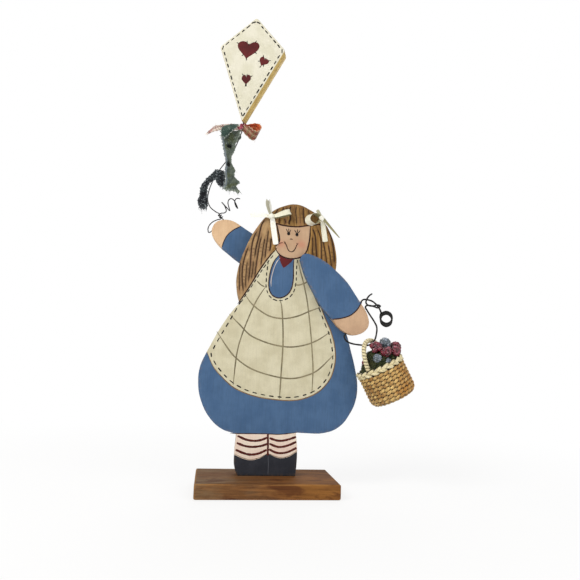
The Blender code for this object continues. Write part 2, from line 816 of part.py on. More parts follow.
def make_basket():
    frame = basket_frame()
    outside, inside = basket_profile()
    bowl = turned("basket_bowl", [*outside, *inside], 32)
    bowl.matrix_world = frame
    bpy.ops.mesh.primitive_torus_add(
        major_radius=RIM_RADIUS, minor_radius=RIM_THICKNESS / 2, major_segments=36, minor_segments=8
    )
    rim = bpy.context.object
    rim.matrix_world = frame
    handle = to_mesh(tube("basket_handle", handle_route(), HANDLE_THICKNESS / 2))
    handle.matrix_world = frame
    channel = tube("handle_channel", handle_route(), HANDLE_THICKNESS / 2 + GAP)
    channel = as_cutter(to_mesh(channel), "handle_channel")
    channel.matrix_world = frame
    reach = BASKET_RADIUS - BASKET_WALL - GAP - MOSS_ROOM
    mound = [(0, MOSS_HEIGHT)]
    for i in range(1, 7):
        angle = math.radians(90 - 15 * i)
        mound.append((reach * math.cos(angle), MOSS_HEIGHT * math.sin(angle)))
    mound += [(reach, -RIM_THICKNESS), (reach, -MOSS_DEPTH), (0, -MOSS_DEPTH)]
    moss = turned("basket_moss", mound, 28)
    moss.matrix_world = frame
    as_part(bowl, "basket_bowl", STRAW, 35)
    as_part(rim, "basket_rim", PALE_STRAW, 60)
    as_part(handle, "basket_handle", PALE_STRAW, 60)
    as_part(moss, "basket_moss", MOSS, 60)
    boolean(rim, channel, "DIFFERENCE")
    boolean(moss, channel, "DIFFERENCE")
    pieces = [bowl, rim, handle, moss]
    for name, place, radius, paint in BERRIES:
        spot = frame @ (Vector(place) * MM)
        pieces.append(as_part(ball(name, spot, radius * MM), name, paint, 80))
        nest = as_cutter(ball(name + "_nest", spot, radius * MM + BERRY_NEST), name + "_nest")
        boolean(moss, nest, "DIFFERENCE")
    return pieces


def bow(name, knot, loops, tails):
    """A tied ribbon: its knot, its loops seen edge on, and its tails seen flat."""
    bpy.ops.mesh.primitive_ico_sphere_add(subdivisions=2, radius=1, location=knot)
    middle = bpy.context.object
    middle.scale = (2.5 * MM, 2.2 * MM, 2.4 * MM)
    bpy.ops.object.transform_apply(location=False, rotation=False, scale=True)
    shapes = [to_mesh(middle)]
    for i, route in enumerate(loops):
        widths = [RIBBON_WIDTH * 0.6, RIBBON_WIDTH, RIBBON_WIDTH, RIBBON_WIDTH * 0.6]
        lie = [(0, 1, 0.25)] * 2
        shapes.append(strip(f"{name}_loop_{i}", route, widths, lie, [0, 0], RIBBON_THICKNESS, 22, columns=2))
    for i, (route, widths, lie) in enumerate(tails):
        widths = [w * MM for w in widths]
        shapes.append(strip(f"{name}_tail_{i}", route, widths, lie, [0, 0], RIBBON_THICKNESS, 10, columns=2))
    return as_part(joined(shapes), name, RIBBON, 50)


def make_bows():
    front = (BODY_FRONT - GAP) / MM
    y = front - 2.3
    left_knot = mm_route([(-3.2, y, 231.6)])[0]
    right_knot = mm_route([(43, y, 233)])[0]
    flat = [(1, 0, 0.1), (1, 0, 0.1)]
    upright = [(0, 0.2, 1), (0, 0.2, 1)]
    bow(
        "left_hair_bow",
        left_knot,
        [
            mm_route(
                [
                    (-3, y, 232.2),
                    (4, y - 0.9, 236),
                    (11.4, y - 1.1, 238.2),
                    (15, y - 1.1, 235.6),
                    (11.6, y - 1.1, 232),
                    (4, y - 0.9, 230.4),
                    (-3, y, 231),
                ]
            ),
            mm_route(
                [
                    (-3.8, y, 232),
                    (-7.8, y - 0.8, 237),
                    (-8.8, y - 0.9, 243),
                    (-6.4, y - 0.9, 246.2),
                    (-4.2, y - 0.9, 243),
                    (-3.2, y - 0.8, 237),
                    (-2.8, y, 232),
                ]
            ),
        ],
        [
            (mm_route([(-4, y, 231.6), (-12, y - 0.4, 232.6), (-21.5, y - 0.8, 231.8)]), [3, 4.4, 4.8], upright),
            (mm_route([(-3, y, 230), (-1.6, front - 0.8, 223), (0.2, front - 0.7, 205)]), [3.6, 5, 5], flat),
        ],
    )
    slant = [(0.1, 1, 0.1), (0.1, 1, 0.1)]
    bow(
        "right_hair_bow",
        right_knot,
        [
            mm_route(
                [
                    (42.6, y, 233.6),
                    (38, y - 0.9, 236.4),
                    (33, y - 1, 235.6),
                    (29.6, y - 1, 231.6),
                    (31, y - 1, 227.4),
                    (36, y - 1, 225.8),
                    (40.6, y - 0.9, 228.6),
                    (42.6, y, 232),
                ]
            )
        ],
        [
            (mm_route([(42.6, y, 234), (40.6, y - 0.6, 237), (38.8, y - 0.8, 239.6)]), [3, 4, 4.4], flat),
            (mm_route([(43.4, y, 231.6), (44.6, front - 0.8, 225), (47.4, front - 0.7, 210)]), [3.4, 4.6, 4.8], flat),
            (mm_route([(43.8, y, 232.6), (52, y - 0.4, 224), (60.4, y - 0.6, 215)]), [3, 4, 1.6], slant),
        ],
    )


def rag(name, knot, knot_size, strips, channel, material):
    """Torn cloth tied round the kite's wire."""
    bpy.ops.mesh.primitive_ico_sphere_add(subdivisions=2, radius=1, location=knot)
    middle = bpy.context.object
    middle.scale = Vector(knot_size) * MM
    bpy.ops.object.transform_apply(location=False, rotation=False, scale=True)
    shapes = [to_mesh(middle)]
    for i, (route, widths, lie, folds, stations) in enumerate(strips):
        widths = [w * MM for w in widths]
        folds = [f * MM for f in folds]
        shapes.append(strip(f"{name}_{i}", route, widths, lie, folds, RAG_THICKNESS, stations))
    whole = as_part(joined(shapes), name, material, 50)
    boolean(whole, channel, "DIFFERENCE")
    return whole


def make_rags():
    channel = tube("wire_channel", kite_wire_route(), KITE_WIRE / 2 + GAP)
    channel = as_cutter(to_mesh(channel), "wire_channel")
    side = [(1, 0, 0), (1, 0, 0)]
    deep = [(0, 1, 0.3), (0.2, 1, 0.3)]
    plaid = rag(
        "kite_rag_plaid",
        mm_route([(-33.2, 14.3, 320.5)])[0],
        (3.6, 3.4, 3.6),
        [
            (
                mm_route(
                    [
                        (-32, 13, 320.8),
                        (-26, 11.6, 321.4),
                        (-20, 10.6, 321.6),
                        (-15.8, 10.4, 316.4),
                        (-17.6, 10.4, 310.4),
                        (-24, 10.8, 306),
                        (-28.4, 11.8, 311),
                        (-32, 13, 319.2),
                    ]
                ),
                [4, 8, 10, 11, 10, 8, 4],
                deep,
                [0.2, 0.5, 0.5, 0.2],
                26,
            ),
            (
                mm_route([(-34.6, 13, 320.4), (-43, 11.4, 321.4), (-53, 10.4, 320.4), (-61, 10, 315.6), (-65, 9.8, 311)]),
                [4, 7, 7, 6, 3],
                [(0, 0.5, 1), (0, 0.6, 1)],
                [0.2, 0.7, 0.6, 0.3],
                16,
            ),
        ],
        channel,
        PLAID_RAG,
    )
    green = rag(
        "kite_rag_green",
        mm_route([(-36.2, 14.4, 309)])[0],
        (4.2, 3.6, 4.2),
        [
            (
                mm_route(
                    [
                        (-37, 12.4, 312),
                        (-44, 10.4, 310),
                        (-46.6, 9.6, 300),
                        (-46, 9.4, 290),
                        (-44.8, 9.4, 281),
                        (-43, 9.2, 270),
                        (-41, 9.2, 262),
                        (-40.4, 9.2, 256),
                    ]
                ),
                [6, 13, 11, 8, 6, 9, 11, 14, 13],
                side,
                [0.4, 1.2, 1.4, 1.1, 1.2, 1.4, 1.0],
                30,
            )
        ],
        channel,
        GREEN_RAG,
    )
    navy = rag(
        "kite_rag_navy",
        mm_route([(-54, 14.6, 274.2)])[0],
        (4.6, 3.8, 4.4),
        [
            (
                mm_route([(-54.6, 13, 274), (-60.6, 11.2, 269), (-66.2, 10.4, 263), (-67.2, 10, 252), (-67, 9.8, 238.6)]),
                [6, 7, 7, 7.5, 8],
                [(0.5, 0.2, 0.6), (1, 0, 0.1)],
                [0.6, 1.0, 1.1, 1.0, 0.9],
                22,
            ),
            (
                mm_route([(-53.6, 13, 274), (-50.4, 12, 270), (-48.8, 11.4, 262.6)]),
                [7, 9, 8],
                side,
                [0.6, 1.0, 0.8],
                10,
            ),
        ],
        channel,
        NAVY_RAG,
    )
    return [plaid, green, navy]


def make_figurine():
    plank = make_base()
    body = make_body()
    make_screws(plank, body)
    make_arms()
    kite = make_kite()
    kite_wire, basket_wire = make_wires()
    rags = make_rags()
    make_bows()
    basket = make_basket()
    left, top = high_bore()
    low, high = low_bore()
    rocker, rocker_line = handle_top()
    kite_swivel = empty_at("kite_swivel", (left + top) / 2)
    wire_swing = empty_at("basket_wire_swing", (low + high) / 2)
    basket_tilt = empty_at("basket_tilt", rocker)
    hang_on(kite_swivel, [kite, kite_wire, *rags])
    hang_on(wire_swing, [basket_wire, basket_tilt])
    hang_on(basket_tilt, basket)
    for name, place, axis in (
        ("kite_swivel", kite_swivel.location, top - left),
        ("basket_wire_swing", (low + high) / 2, high - low),
        ("basket_tilt", rocker, -rocker_line),
    ):
        spot = [round(c, 6) for c in place]
        print(name, "at", spot, "axis", [round(c, 6) for c in axis.normalized()])


make_figurine()
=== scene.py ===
import random
from math import cos, hypot, pi, radians, sin, sqrt, tau

import bmesh
import bpy
import numpy as np
from mathutils import Matrix, Vector, noise
from mathutils.geometry import delaunay_2d_cdt


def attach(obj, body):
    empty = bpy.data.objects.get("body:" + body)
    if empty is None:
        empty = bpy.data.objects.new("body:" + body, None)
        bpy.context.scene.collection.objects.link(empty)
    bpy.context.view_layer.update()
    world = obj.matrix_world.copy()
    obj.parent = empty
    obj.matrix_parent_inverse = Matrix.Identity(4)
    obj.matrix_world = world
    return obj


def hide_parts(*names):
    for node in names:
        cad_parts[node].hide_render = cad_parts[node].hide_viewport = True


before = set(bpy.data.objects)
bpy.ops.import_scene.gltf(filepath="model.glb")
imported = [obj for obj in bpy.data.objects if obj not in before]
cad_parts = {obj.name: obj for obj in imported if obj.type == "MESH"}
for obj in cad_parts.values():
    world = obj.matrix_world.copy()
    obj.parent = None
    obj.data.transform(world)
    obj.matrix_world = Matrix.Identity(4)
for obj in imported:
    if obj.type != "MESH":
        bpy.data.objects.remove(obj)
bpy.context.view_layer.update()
mm = 0.001
feet = 13  # height of the figure's feet above the table, in millimetres
rng = random.Random(11)


def srgb(r, g, b):
    return tuple(((c / 255 + 0.055) / 1.055) ** 2.4 if c > 10 else c / 255 / 12.92 for c in (r, g, b)) + (1,)


def addNode(tree, kind, wires=None, **settings):
    made = tree.nodes.new(kind)
    for key, value in settings.items():
        setattr(made, key, value)
    for key, value in (wires or {}).items():
        if isinstance(value, bpy.types.NodeSocket):
            tree.links.new(value, made.inputs[key])
        else:
            made.inputs[key].default_value = value
    return made


# A material mixed step by step: one tone laid over another, then the fine relief
class Finish:
    def __init__(self, name, roughness=0.6, specular=0.5, metallic=0, sheen=0, coat=0):
        self.made = bpy.data.materials.new(name)
        self.made.use_nodes = True
        self.tree = self.made.node_tree
        self.shader = self.tree.nodes["Principled BSDF"]
        self.colour = self.relief = None
        for socket, value in (("Roughness", roughness), ("Specular IOR Level", specular), ("Metallic", metallic),
                              ("Sheen Weight", sheen), ("Coat Weight", coat)):
            self.shader.inputs[socket].default_value = value

    def put(self, kind, wires=None, **settings):
        return addNode(self.tree, "ShaderNode" + kind, wires, **settings)

    def stretched(self, source, stretch):
        return self.put("Mapping", {"Vector": source, "Scale": stretch}).outputs["Vector"]

    def coords(self, stretch=(1, 1, 1)):
        return self.stretched(self.put("TexCoord").outputs["Object"], stretch)

    def axes(self):
        return self.put("SeparateXYZ", {"Vector": self.coords()}).outputs

    def cloud(self, spot, scale=1, detail=3, distortion=0, rough=0.5):
        return self.put("TexNoise", {"Vector": spot, "Scale": scale, "Detail": detail, "Distortion": distortion,
                                     "Roughness": rough}).outputs["Fac"]

    def grain(self, scale, stretch=(1, 1, 1), detail=4, distortion=0, rough=0.55):
        return self.cloud(self.coords(stretch), scale, detail, distortion, rough)

    def ramp(self, value, low, high, start=0, end=1):
        return self.put("MapRange", {"Value": value, "From Min": low, "From Max": high, "To Min": start, "To Max": end},
                        interpolation_type="SMOOTHSTEP").outputs["Result"]

    def maths(self, kind, first, second=0):
        return self.put("Math", {0: first, 1: second}, operation=kind).outputs[0]

    def times(self, first, second):
        return self.maths("MULTIPLY", first, second)

    def mark(self, name):
        return self.put("Attribute", attribute_name=name).outputs["Fac"]

    def lay(self, factor, first, second):
        self.colour = self.put("Mix", {"Factor": factor, 6: first, 7: second}, data_type="RGBA").outputs[2]

    def base(self, value, low, high, first, second):
        self.lay(self.ramp(value, low, high), srgb(*first), srgb(*second))

    def over(self, factor, tone):
        self.lay(factor, self.colour, srgb(*tone))

    def tint(self, tone, value, low, high, strength=1):
        self.over(self.ramp(value, low, high, 0, strength), tone)

    def bump(self, height, strength, depth):
        wires = {"Height": height, "Strength": strength, "Distance": depth}
        if self.relief:
            wires["Normal"] = self.relief
        self.relief = self.put("Bump", wires).outputs["Normal"]

    def done(self):
        self.tree.links.new(self.colour, self.shader.inputs["Base Color"])
        if self.relief:
            self.tree.links.new(self.relief, self.shader.inputs["Normal"])
        return self.made


# Matt hand-brushed paint on sawn wood: drifts of two tones, brush lines, grain under it, wear at the rim
def paint(name, base, other, grain, wear=0, wearAndHighlight=None, speck=None, blush=None):
    look = Finish(name, 0.72, 0.25)
    look.base(look.grain(70, detail=3), 0.35, 0.68, base, other)
    brush = look.grain(900, (1, 1, 0.07), 3)
    look.tint([c * 0.8 for c in base], brush, 0.42, 0.66, grain)
    fine = look.grain(2400, detail=2)
    look.tint([min(c * 1.16, 250) for c in base], fine, 0.55, 0.75, 0.25)
    if speck:
        look.tint(speck, look.grain(1500, detail=5, rough=0.7), 0.57, 0.66, 0.5)
    if blush:
        look.over(look.times(look.mark("blush"), 0.46), blush)
    if wear:
        rim = look.mark("rim")
        patchy = look.ramp(look.grain(380, detail=5), 0.46, 0.62)
        look.over(look.times(look.times(rim, patchy), wear), wearAndHighlight)
    look.bump(brush, 0.35, 0.0002)
    look.bump(fine, 0.3, 0.00012)
    return look.done()


# Bare wood with growth lines and pores that run upwards
def bareWood(name, light, dark, roughness=0.55):
    look = Finish(name, roughness, 0.4, coat=0.06)
    rings = look.grain(260, (1, 1, 0.05), 6, 1.2)
    pores = look.grain(1500, (1, 1, 0.05), 3)
    look.base(rings, 0.34, 0.66, light, dark)
    look.tint([c * 0.55 for c in dark], pores, 0.55, 0.72, 0.55)
    look.bump(rings, 0.3, 0.0004)
    look.bump(pores, 0.45, 0.00025)
    return look.done()


def placed(name, mesh):
    made = bpy.data.objects.new(name, mesh)
    bpy.context.scene.collection.objects.link(made)
    return made


def meshFrom(name, shape, turnOut=True):
    mesh = bpy.data.meshes.new(name)
    if turnOut:
        bmesh.ops.recalc_face_normals(shape, faces=shape.faces)
    shape.to_mesh(mesh)
    shape.free()
    return mesh


def finished(name, mesh, materials, smooth=None):
    for material in materials:
        mesh.materials.append(material)
    if smooth is not None:
        mesh.shade_smooth()
        mesh.set_sharp_from_angle(angle=radians(smooth))
    return placed(name, mesh)


def meshPiece(name, shape, materials, smooth=None):
    return finished(name, meshFrom(name, shape), materials, smooth)


def spanAt(line, i, reach):
    return line[min(i + reach, len(line) - 1)] - line[max(i - reach, 0)]


def aheadAt(line, i):
    return spanAt(line, i, 1).normalized()


# A value between the stops of a list, at a place from 0 to 1
def between(stops, t):
    place = t * (len(stops) - 1)
    j = min(int(place), len(stops) - 2)
    return stops[j] + (stops[j + 1] - stops[j]) * (place - j)


def angles(count):
    return [tau * k / count for k in range(count)]


def polar(radius, a, z=0):
    return Vector((radius * cos(a), radius * sin(a), z))


def around(count, radius=1, z=0):
    return [polar(radius, a, z) for a in angles(count)]


def drift(x, y, z):
    return noise.noise(Vector((x, y, z)))


def baked(thing):
    bpy.context.view_layer.update()
    return bpy.data.meshes.new_from_object(thing.evaluated_get(bpy.context.evaluated_depsgraph_get()))


def evenly(points, step, closed=False):
    points = [Vector(p) for p in points]
    if closed:
        points = points + [points[0]]
    out, spare = [points[0].copy()], 0
    for a, b in zip(points, points[1:]):
        length = (b - a).length
        place = step - spare
        while place < length:
            out.append(a.lerp(b, place / length))
            place += step
        spare = (spare + length) % step if length else spare
    if not closed and (out[-1] - points[-1]).length > step * 0.3:
        out.append(points[-1])
    return out


def smoothLine(points, step):
    points = [Vector(p) for p in points]
    padded = [2 * points[0] - points[1], *points, 2 * points[-1] - points[-2]]
    line = []
    for before, start, end, after in zip(padded, padded[1:], padded[2:], padded[3:]):
        count = max(1, round((end - start).length / step))
        for t in (i / count for i in range(count)):
            line.append(0.5 * (2 * start + (end - before) * t + (2 * before - 5 * start + 4 * end - after) * t * t
                               + (3 * start - before - 3 * end + after) * t * t * t))
    return line + [points[-1]]


# Skins rings of vertices one to the next; a ring of one vertex is a pole
def joinRings(shape, rings, slot=0, closed=False):
    for first, second in zip(rings, rings[1:] + rings[:1] if closed else rings[1:]):
        for k in range(max(len(first), len(second))):
            near, far = ([ring[k % len(ring)], ring[(k + 1) % len(ring)]] for ring in (first, second))
            shape.faces.new(list(dict.fromkeys(near + far[::-1]))).material_index = slot


def capEnds(shape, rings, slot=0):
    for ring in (rings[0][::-1], rings[-1]):
        shape.faces.new(ring).material_index = slot


def oval(across, out, sides):
    return [(across * cos(a), out * sin(a)) for a in angles(sides)]


def disc(radius, sides):
    return oval(radius, radius, sides)


def band(width, thickness):
    w, h = width / 2, thickness / 2
    return [(-w, -h * 0.4), (-w * 0.75, -h), (w * 0.75, -h), (w, -h * 0.4), (w, h * 0.4), (w * 0.72, h), (0, h * 1.15),
            (-w * 0.72, h), (-w, h * 0.4)]


# A tube along points. Its section is a profile of (across, out) offsets, or gives one for a place from 0 to 1.
# `up` is the outward direction, one for all points or one for each.
def addTube(shape, points, section, up=None, slot=0, closed=False):
    points = [Vector(p) for p in points]
    count = len(points)
    rings, side = [], None
    for i, point in enumerate(points):
        along = (points[(i + 1) % count] - points[i - 1]).normalized() if closed else aheadAt(points, i)
        if up is not None:
            side = along.cross(up[i] if isinstance(up, list) else up).normalized()
        elif side is None:
            guide = Vector((0, 0, 1)) if abs(along.z) < 0.9 else Vector((1, 0, 0))
            side = along.cross(guide).normalized()
        else:
            side = (side - along * side.dot(along)).normalized()
        normal = side.cross(along)
        profile = section(i / max(count - 1, 1)) if callable(section) else section
        shrink = 1 if closed or 0 < i < count - 1 else 0.6
        rings.append([shape.verts.new(point + side * a * shrink + normal * b * shrink) for a, b in profile])
    joinRings(shape, rings, slot, closed)
    if not closed:
        capEnds(shape, rings, slot)
    return rings


# A random vector for each copy, between two others
def varied(tree, given, low, high):
    return addNode(tree, "FunctionNodeRandomValue", {"Min": low, "Max": high, "Seed": given["Seed"]},
                   data_type="FLOAT_VECTOR")


# Geometry Nodes that set a small unit on many places of a host mesh, then everything as one plain mesh piece.
# `layOut` takes the tree and the group's inputs, and gives the points, the turn and the size of each copy.
def scattered(name, host, unit, inputs, material, layOut, flat=None):
    tree = bpy.data.node_groups.new(name + "_group", "GeometryNodeTree")
    values = {"Unit": ("Object", unit), **inputs, "Finish": ("Material", material)}
    tree.interface.new_socket("Geometry", in_out="INPUT", socket_type="NodeSocketGeometry")
    for label, (kind, _) in values.items():
        tree.interface.new_socket(label, in_out="INPUT", socket_type="NodeSocket" + kind)
    tree.interface.new_socket("Geometry", in_out="OUTPUT", socket_type="NodeSocketGeometry")
    given = addNode(tree, "NodeGroupInput").outputs
    points, turn, size = layOut(tree, given)
    source = addNode(tree, "GeometryNodeObjectInfo", {"Object": given["Unit"]}, transform_space="ORIGINAL")
    laid = addNode(tree, "GeometryNodeInstanceOnPoints", {
        "Points": points, "Instance": source.outputs["Geometry"], "Rotation": turn, "Scale": size})
    real = addNode(tree, "GeometryNodeRealizeInstances", {"Geometry": laid.outputs[0]})
    covered = addNode(tree, "GeometryNodeSetMaterial", {"Geometry": real.outputs[0], "Material": given["Finish"]})
    addNode(tree, "NodeGroupOutput", {0: covered.outputs[0]})
    layer = host.modifiers.new("copies", "NODES")
    layer.node_group = tree
    ids = {item.name: item.identifier for item in tree.interface.items_tree if item.in_out == "INPUT"}
    for label, (_, value) in values.items():
        layer[ids[label]] = value
    mesh = baked(host)
    mesh.name = name
    if flat is not None:
        mesh.transform(flat.inverted())
    for thing in (host, unit):
        bpy.data.objects.remove(thing, do_unlink=True)
    mesh.shade_smooth()
    return placed(name, mesh)


# Camera as fitted to the photograph, three soft lights, and white paper that keeps the shadow
studio = {
    "eye": (-0.052, -0.520, 0.114), "yaw": 7.49, "pitch": 6.88, "roll": 1.95, "lens": 36,
    "room": ((1, 0.99, 0.975, 1), 0.5),
    "lights": {"key": ((-0.95, -0.8, 1.05), 0.6, 12.4, (1, 0.975, 0.945)), "fill": ((0.9, -0.95, 0.6), 0.9, 4.6,
        (0.96, 0.985, 1)), "rim": ((0.3, 1.1, 0.9), 0.9, 5, (1, 1, 1))},
    "aim": (0, 0, 0.2), "paper": 0.93, "paperSize": 3, "paperDrop": 0.0002,
}


def setCamera():
    yaw, pitch, roll = (radians(studio[key]) for key in ("yaw", "pitch", "roll"))
    ahead = Vector((sin(yaw) * cos(pitch), cos(yaw) * cos(pitch), sin(pitch)))
    side = Vector((cos(yaw), -sin(yaw), 0))
    top = side.cross(ahead)
    right = side * cos(roll) + top * sin(roll)
    upward = top * cos(roll) - side * sin(roll)
    lens = bpy.data.cameras.new("camera")
    lens.lens, lens.sensor_width, lens.clip_start = studio["lens"], 36, 0.02
    camera = placed("camera", lens)
    camera.matrix_world = Matrix.Translation(studio["eye"]) @ Matrix((right, upward, -ahead)).transposed().to_4x4()
    bpy.context.scene.camera = camera


# What the camera sees, mixed with what lights the object
def seenAs(tree, factor, lit, seen):
    return addNode(tree, "ShaderNodeMixShader", {"Fac": factor, 1: lit, 2: seen}).outputs[0]


def setLights():
    world = bpy.data.worlds.new("studio")
    world.use_nodes = True
    tree = world.node_tree
    tree.nodes.clear()
    toCamera = addNode(tree, "ShaderNodeLightPath").outputs["Is Camera Ray"]
    tone, strength = studio["room"]
    room = addNode(tree, "ShaderNodeBackground", {"Color": tone, "Strength": strength}).outputs[0]
    plain = addNode(tree, "ShaderNodeBackground", {"Color": (1, 1, 1, 1), "Strength": 1}).outputs[0]
    addNode(tree, "ShaderNodeOutputWorld", {"Surface": seenAs(tree, toCamera, room, plain)})
    bpy.context.scene.world = world
    bpy.context.scene.view_settings.view_transform = "Standard"
    for name, (place, size, power, tint) in studio["lights"].items():
        lamp = bpy.data.lights.new(name, "AREA")
        lamp.size, lamp.energy, lamp.color = size, power, tint
        light = placed(name, lamp)
        light.location = place
        light.rotation_euler = (Vector(studio["aim"]) - Vector(place)).to_track_quat("-Z", "Y").to_euler()


def layPaper():
    look = Finish("paper", 0.9, 0)
    look.shader.inputs["Base Color"].default_value = (*[studio["paper"]] * 3, 1)
    glow = look.put("Emission", {"Color": (1, 1, 1, 1), "Strength": 1}).outputs[0]
    away = look.put("VectorMath", {0: look.coords()}, operation="LENGTH").outputs["Value"]
    toCamera = look.put("LightPath").outputs["Is Camera Ray"]
    seen = look.times(toCamera, look.ramp(away, 0.15, 0.6, 0.8, 1))
    look.tree.links.new(seenAs(look.tree, seen, look.shader.outputs[0], glow),
                        look.tree.nodes["Material Output"].inputs["Surface"])
    shape = bmesh.new()
    bmesh.ops.create_grid(shape, x_segments=2, y_segments=2, size=studio["paperSize"])
    for vert in shape.verts:
        vert.co.z = -studio["paperDrop"]
    meshPiece("paper_floor", shape, [look.made])


setCamera()
setLights()
layPaper()
print("stage set")


def insideLoops(points, loops):
    x, z = points[:, 0], points[:, 1]
    within = np.zeros(len(points), bool)
    for loop in loops:
        for (ax, az), (bx, bz) in zip(loop, np.roll(loop, -1, axis=0)):
            if az != bz:
                within ^= ((az > z) != (bz > z)) & (x < (bx - ax) * (z - az) / (bz - az) + ax)
    return within


def nearest(points, samples, batch=400):
    best = np.full(len(points), 1e9)
    which = np.zeros(len(points), int)
    for start in range(0, len(samples), batch):
        part = samples[start:start + batch]
        gap = np.hypot(points[:, None, 0] - part[None, :, 0], points[:, None, 1] - part[None, :, 1])
        local = gap.argmin(axis=1)
        least = gap[np.arange(len(points)), local]
        better = least < best
        best[better] = least[better]
        which[better] = local[better] + start
    return best, which


def denser(ring, step=0.8):
    out = []
    for a, b in zip(ring, np.roll(ring, -1, axis=0)):
        count = max(1, int(np.hypot(*(b - a)) / step))
        out += [tuple(a + (b - a) * i / count) for i in range(count)]
    return out


flush = 0.00002  # how close to a face's level a vertex still lies on it


# The borders left open where a flat face was taken out, as rings of vertices
def openRings(shape, level):
    left = {e for e in shape.edges if len(e.link_faces) == 1 and all(abs(v.co.y - level) < flush for v in e.verts)}
    follow = {}
    for edge in left:
        for vert in edge.verts:
            follow.setdefault(vert, []).append(edge)
    rings = []
    while left:
        edge = left.pop()
        ring, vert = [edge.verts[0]], edge.verts[1]
        while vert is not ring[0]:
            ring.append(vert)
            edge = next(e for e in follow[vert] if e in left)
            left.discard(edge)
            vert = edge.other_vert(vert)
        rings.append(ring)
    return rings


def grooveLine(points, step):
    return smoothLine([(x, z, 0) for x, z in points], step)


# Points along both sides of each groove, where they lie on the face
def grooveSides(grooves, rims):
    sides = []
    for points, half, _ in grooves:
        line = grooveLine(points, 0.7)
        for i, p in enumerate(line):
            ahead = aheadAt(line, i)
            sides += [(p.x - ahead.y * off, p.y + ahead.x * off) for off in (-half, 0, half)]
    if not sides:
        return []
    return [spot for spot, clear in zip(sides, insideLoops(np.array(sides), rims)) if clear]


# Fills an open face with triangles that follow painted borders and grooves, with a loose grid between them
def fillFace(shape, rings, level, facing, borders, grooves, step):
    owners = [v for ring in rings for v in ring]
    spots = [(v.co.x / mm, v.co.z / mm) for v in owners]
    rims = [np.array([(v.co.x / mm, v.co.z / mm) for v in ring]) for ring in rings]
    rim = np.array(spots)
    joints, start = [], 0
    for ring in rings:
        joints += [(start + i, start + (i + 1) % len(ring)) for i in range(len(ring))]
        start += len(ring)
    guides = []
    for points in borders:
        line = evenly(grooveLine(points, 0.6), 1)
        clear = insideLoops(np.array([(p.x, p.y) for p in line]), rims)
        ids = []
        for i, p in enumerate(line):
            gap = np.hypot(rim[:, 0] - p.x, rim[:, 1] - p.y)
            if i in (0, len(line) - 1) and gap.min() < 4:
                ids.append(int(gap.argmin()))
            elif clear[i] and gap.min() > 0.35:
                ids.append(len(spots))
                spots.append((p.x, p.y))
                guides.append((p.x, p.y))
        joints += [(a, b) for a, b in zip(ids, ids[1:]) if a != b]
    sides = grooveSides(grooves, rims)
    guides += sides
    spots += sides
    low, high = rim.min(axis=0), rim.max(axis=0)
    gx, gz = np.meshgrid(np.arange(low[0], high[0], step), np.arange(low[1], high[1], step * 0.9))
    gx[::2] += step / 2
    grid = np.column_stack([gx.ravel(), gz.ravel()])
    grid += np.random.default_rng(5).uniform(-0.2, 0.2, grid.shape) * step
    grid = grid[insideLoops(grid, rims)]
    edges = np.array([p for ring in rims for p in denser(ring)] + guides)
    grid = grid[nearest(grid, edges)[0] > step * 0.55]
    spots += [tuple(p) for p in grid]
    found, _, triangles, origins, _, _ = delaunay_2d_cdt([Vector(p) for p in spots], joints, [], 0, 1e-5)
    centres = np.array([((found[a] + found[b] + found[c]) / 3)[:] for a, b, c in triangles])
    corners = []
    for p, origin in zip(found, origins):
        owner = next((owners[k] for k in origin if k < len(owners)), None)
        corners.append(owner or shape.verts.new((p.x * mm, level, p.y * mm)))
    for triangle, used in zip(triangles, insideLoops(centres, rims)):
        order = [corners[k] for k in triangle][::-facing]
        if used and len(set(order)) == 3 and not shape.faces.get(order):
            shape.faces.new(order)
    return rims


# The CAD board again, with its flat faces divided along painted borders, and points enough for grooves and wear.
# `lines` are borders, `grooves` are (points, half width, depth), all in millimetres on the face: x across, z up.
def paintedBoard(name, node, flat, lines, zonesOf, materials, step, grooves=(), extra=None, backLines=()):
    shape = bmesh.new()
    shape.from_mesh(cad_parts[node].data)
    shape.transform(flat)
    bmesh.ops.remove_doubles(shape, verts=shape.verts, dist=0.000002)
    bmesh.ops.recalc_face_normals(shape, faces=shape.faces)
    frontRims = None
    for facing, borders, cuts in ((-1, lines, grooves), (1, backLines, ())):
        flats = [f for f in shape.faces if f.normal.y * facing > 0.9995 and f.calc_area() > 0]
        level = sorted(v.co.y for f in flats for v in f.verts)[len(flats)]
        flats = [f for f in flats if all(abs(v.co.y - level) < flush for v in f.verts)]
        bmesh.ops.delete(shape, geom=flats, context="FACES")
        rims = fillFace(shape, openRings(shape, level), level, facing, borders, cuts, step)
        frontRims = frontRims or rims
    bmesh.ops.delete(shape, geom=[v for v in shape.verts if not v.link_faces], context="VERTS")
    openEdges = sum(1 for e in shape.edges if len(e.link_faces) != 2)
    bmesh.ops.recalc_face_normals(shape, faces=shape.faces)
    middles = np.array([face.calc_center_median()[:] for face in shape.faces])
    facings = np.array([face.normal.y for face in shape.faces])
    for face, zone in zip(shape.faces, zonesOf(middles[:, 0] / mm, middles[:, 2] / mm, facings)):
        face.material_index = int(zone)
    front = min(v.co.y for v in shape.verts)
    places = np.array([(v.co.x / mm, v.co.z / mm) for v in shape.verts])
    toRim, _ = nearest(places, np.array([p for ring in frontRims for p in denser(ring)]))
    values = {"rim": np.clip(1 - toRim / 2.6, 0, 1) ** 1.5}
    if grooves:
        values.update(sinkGrooves(shape, places, front, grooves))
    if extra:
        values.update(extra(places))
    shape.transform(flat.inverted())
    mesh = meshFrom(name, shape, turnOut=False)
    for key, data in values.items():
        layer = mesh.attributes.new(key, "FLOAT", "POINT")
        layer.data.foreach_set("value", np.asarray(data, dtype=np.float32))
    print(name, len(mesh.polygons), "faces, open edges", openEdges)
    return finished(name, mesh, materials, 40)


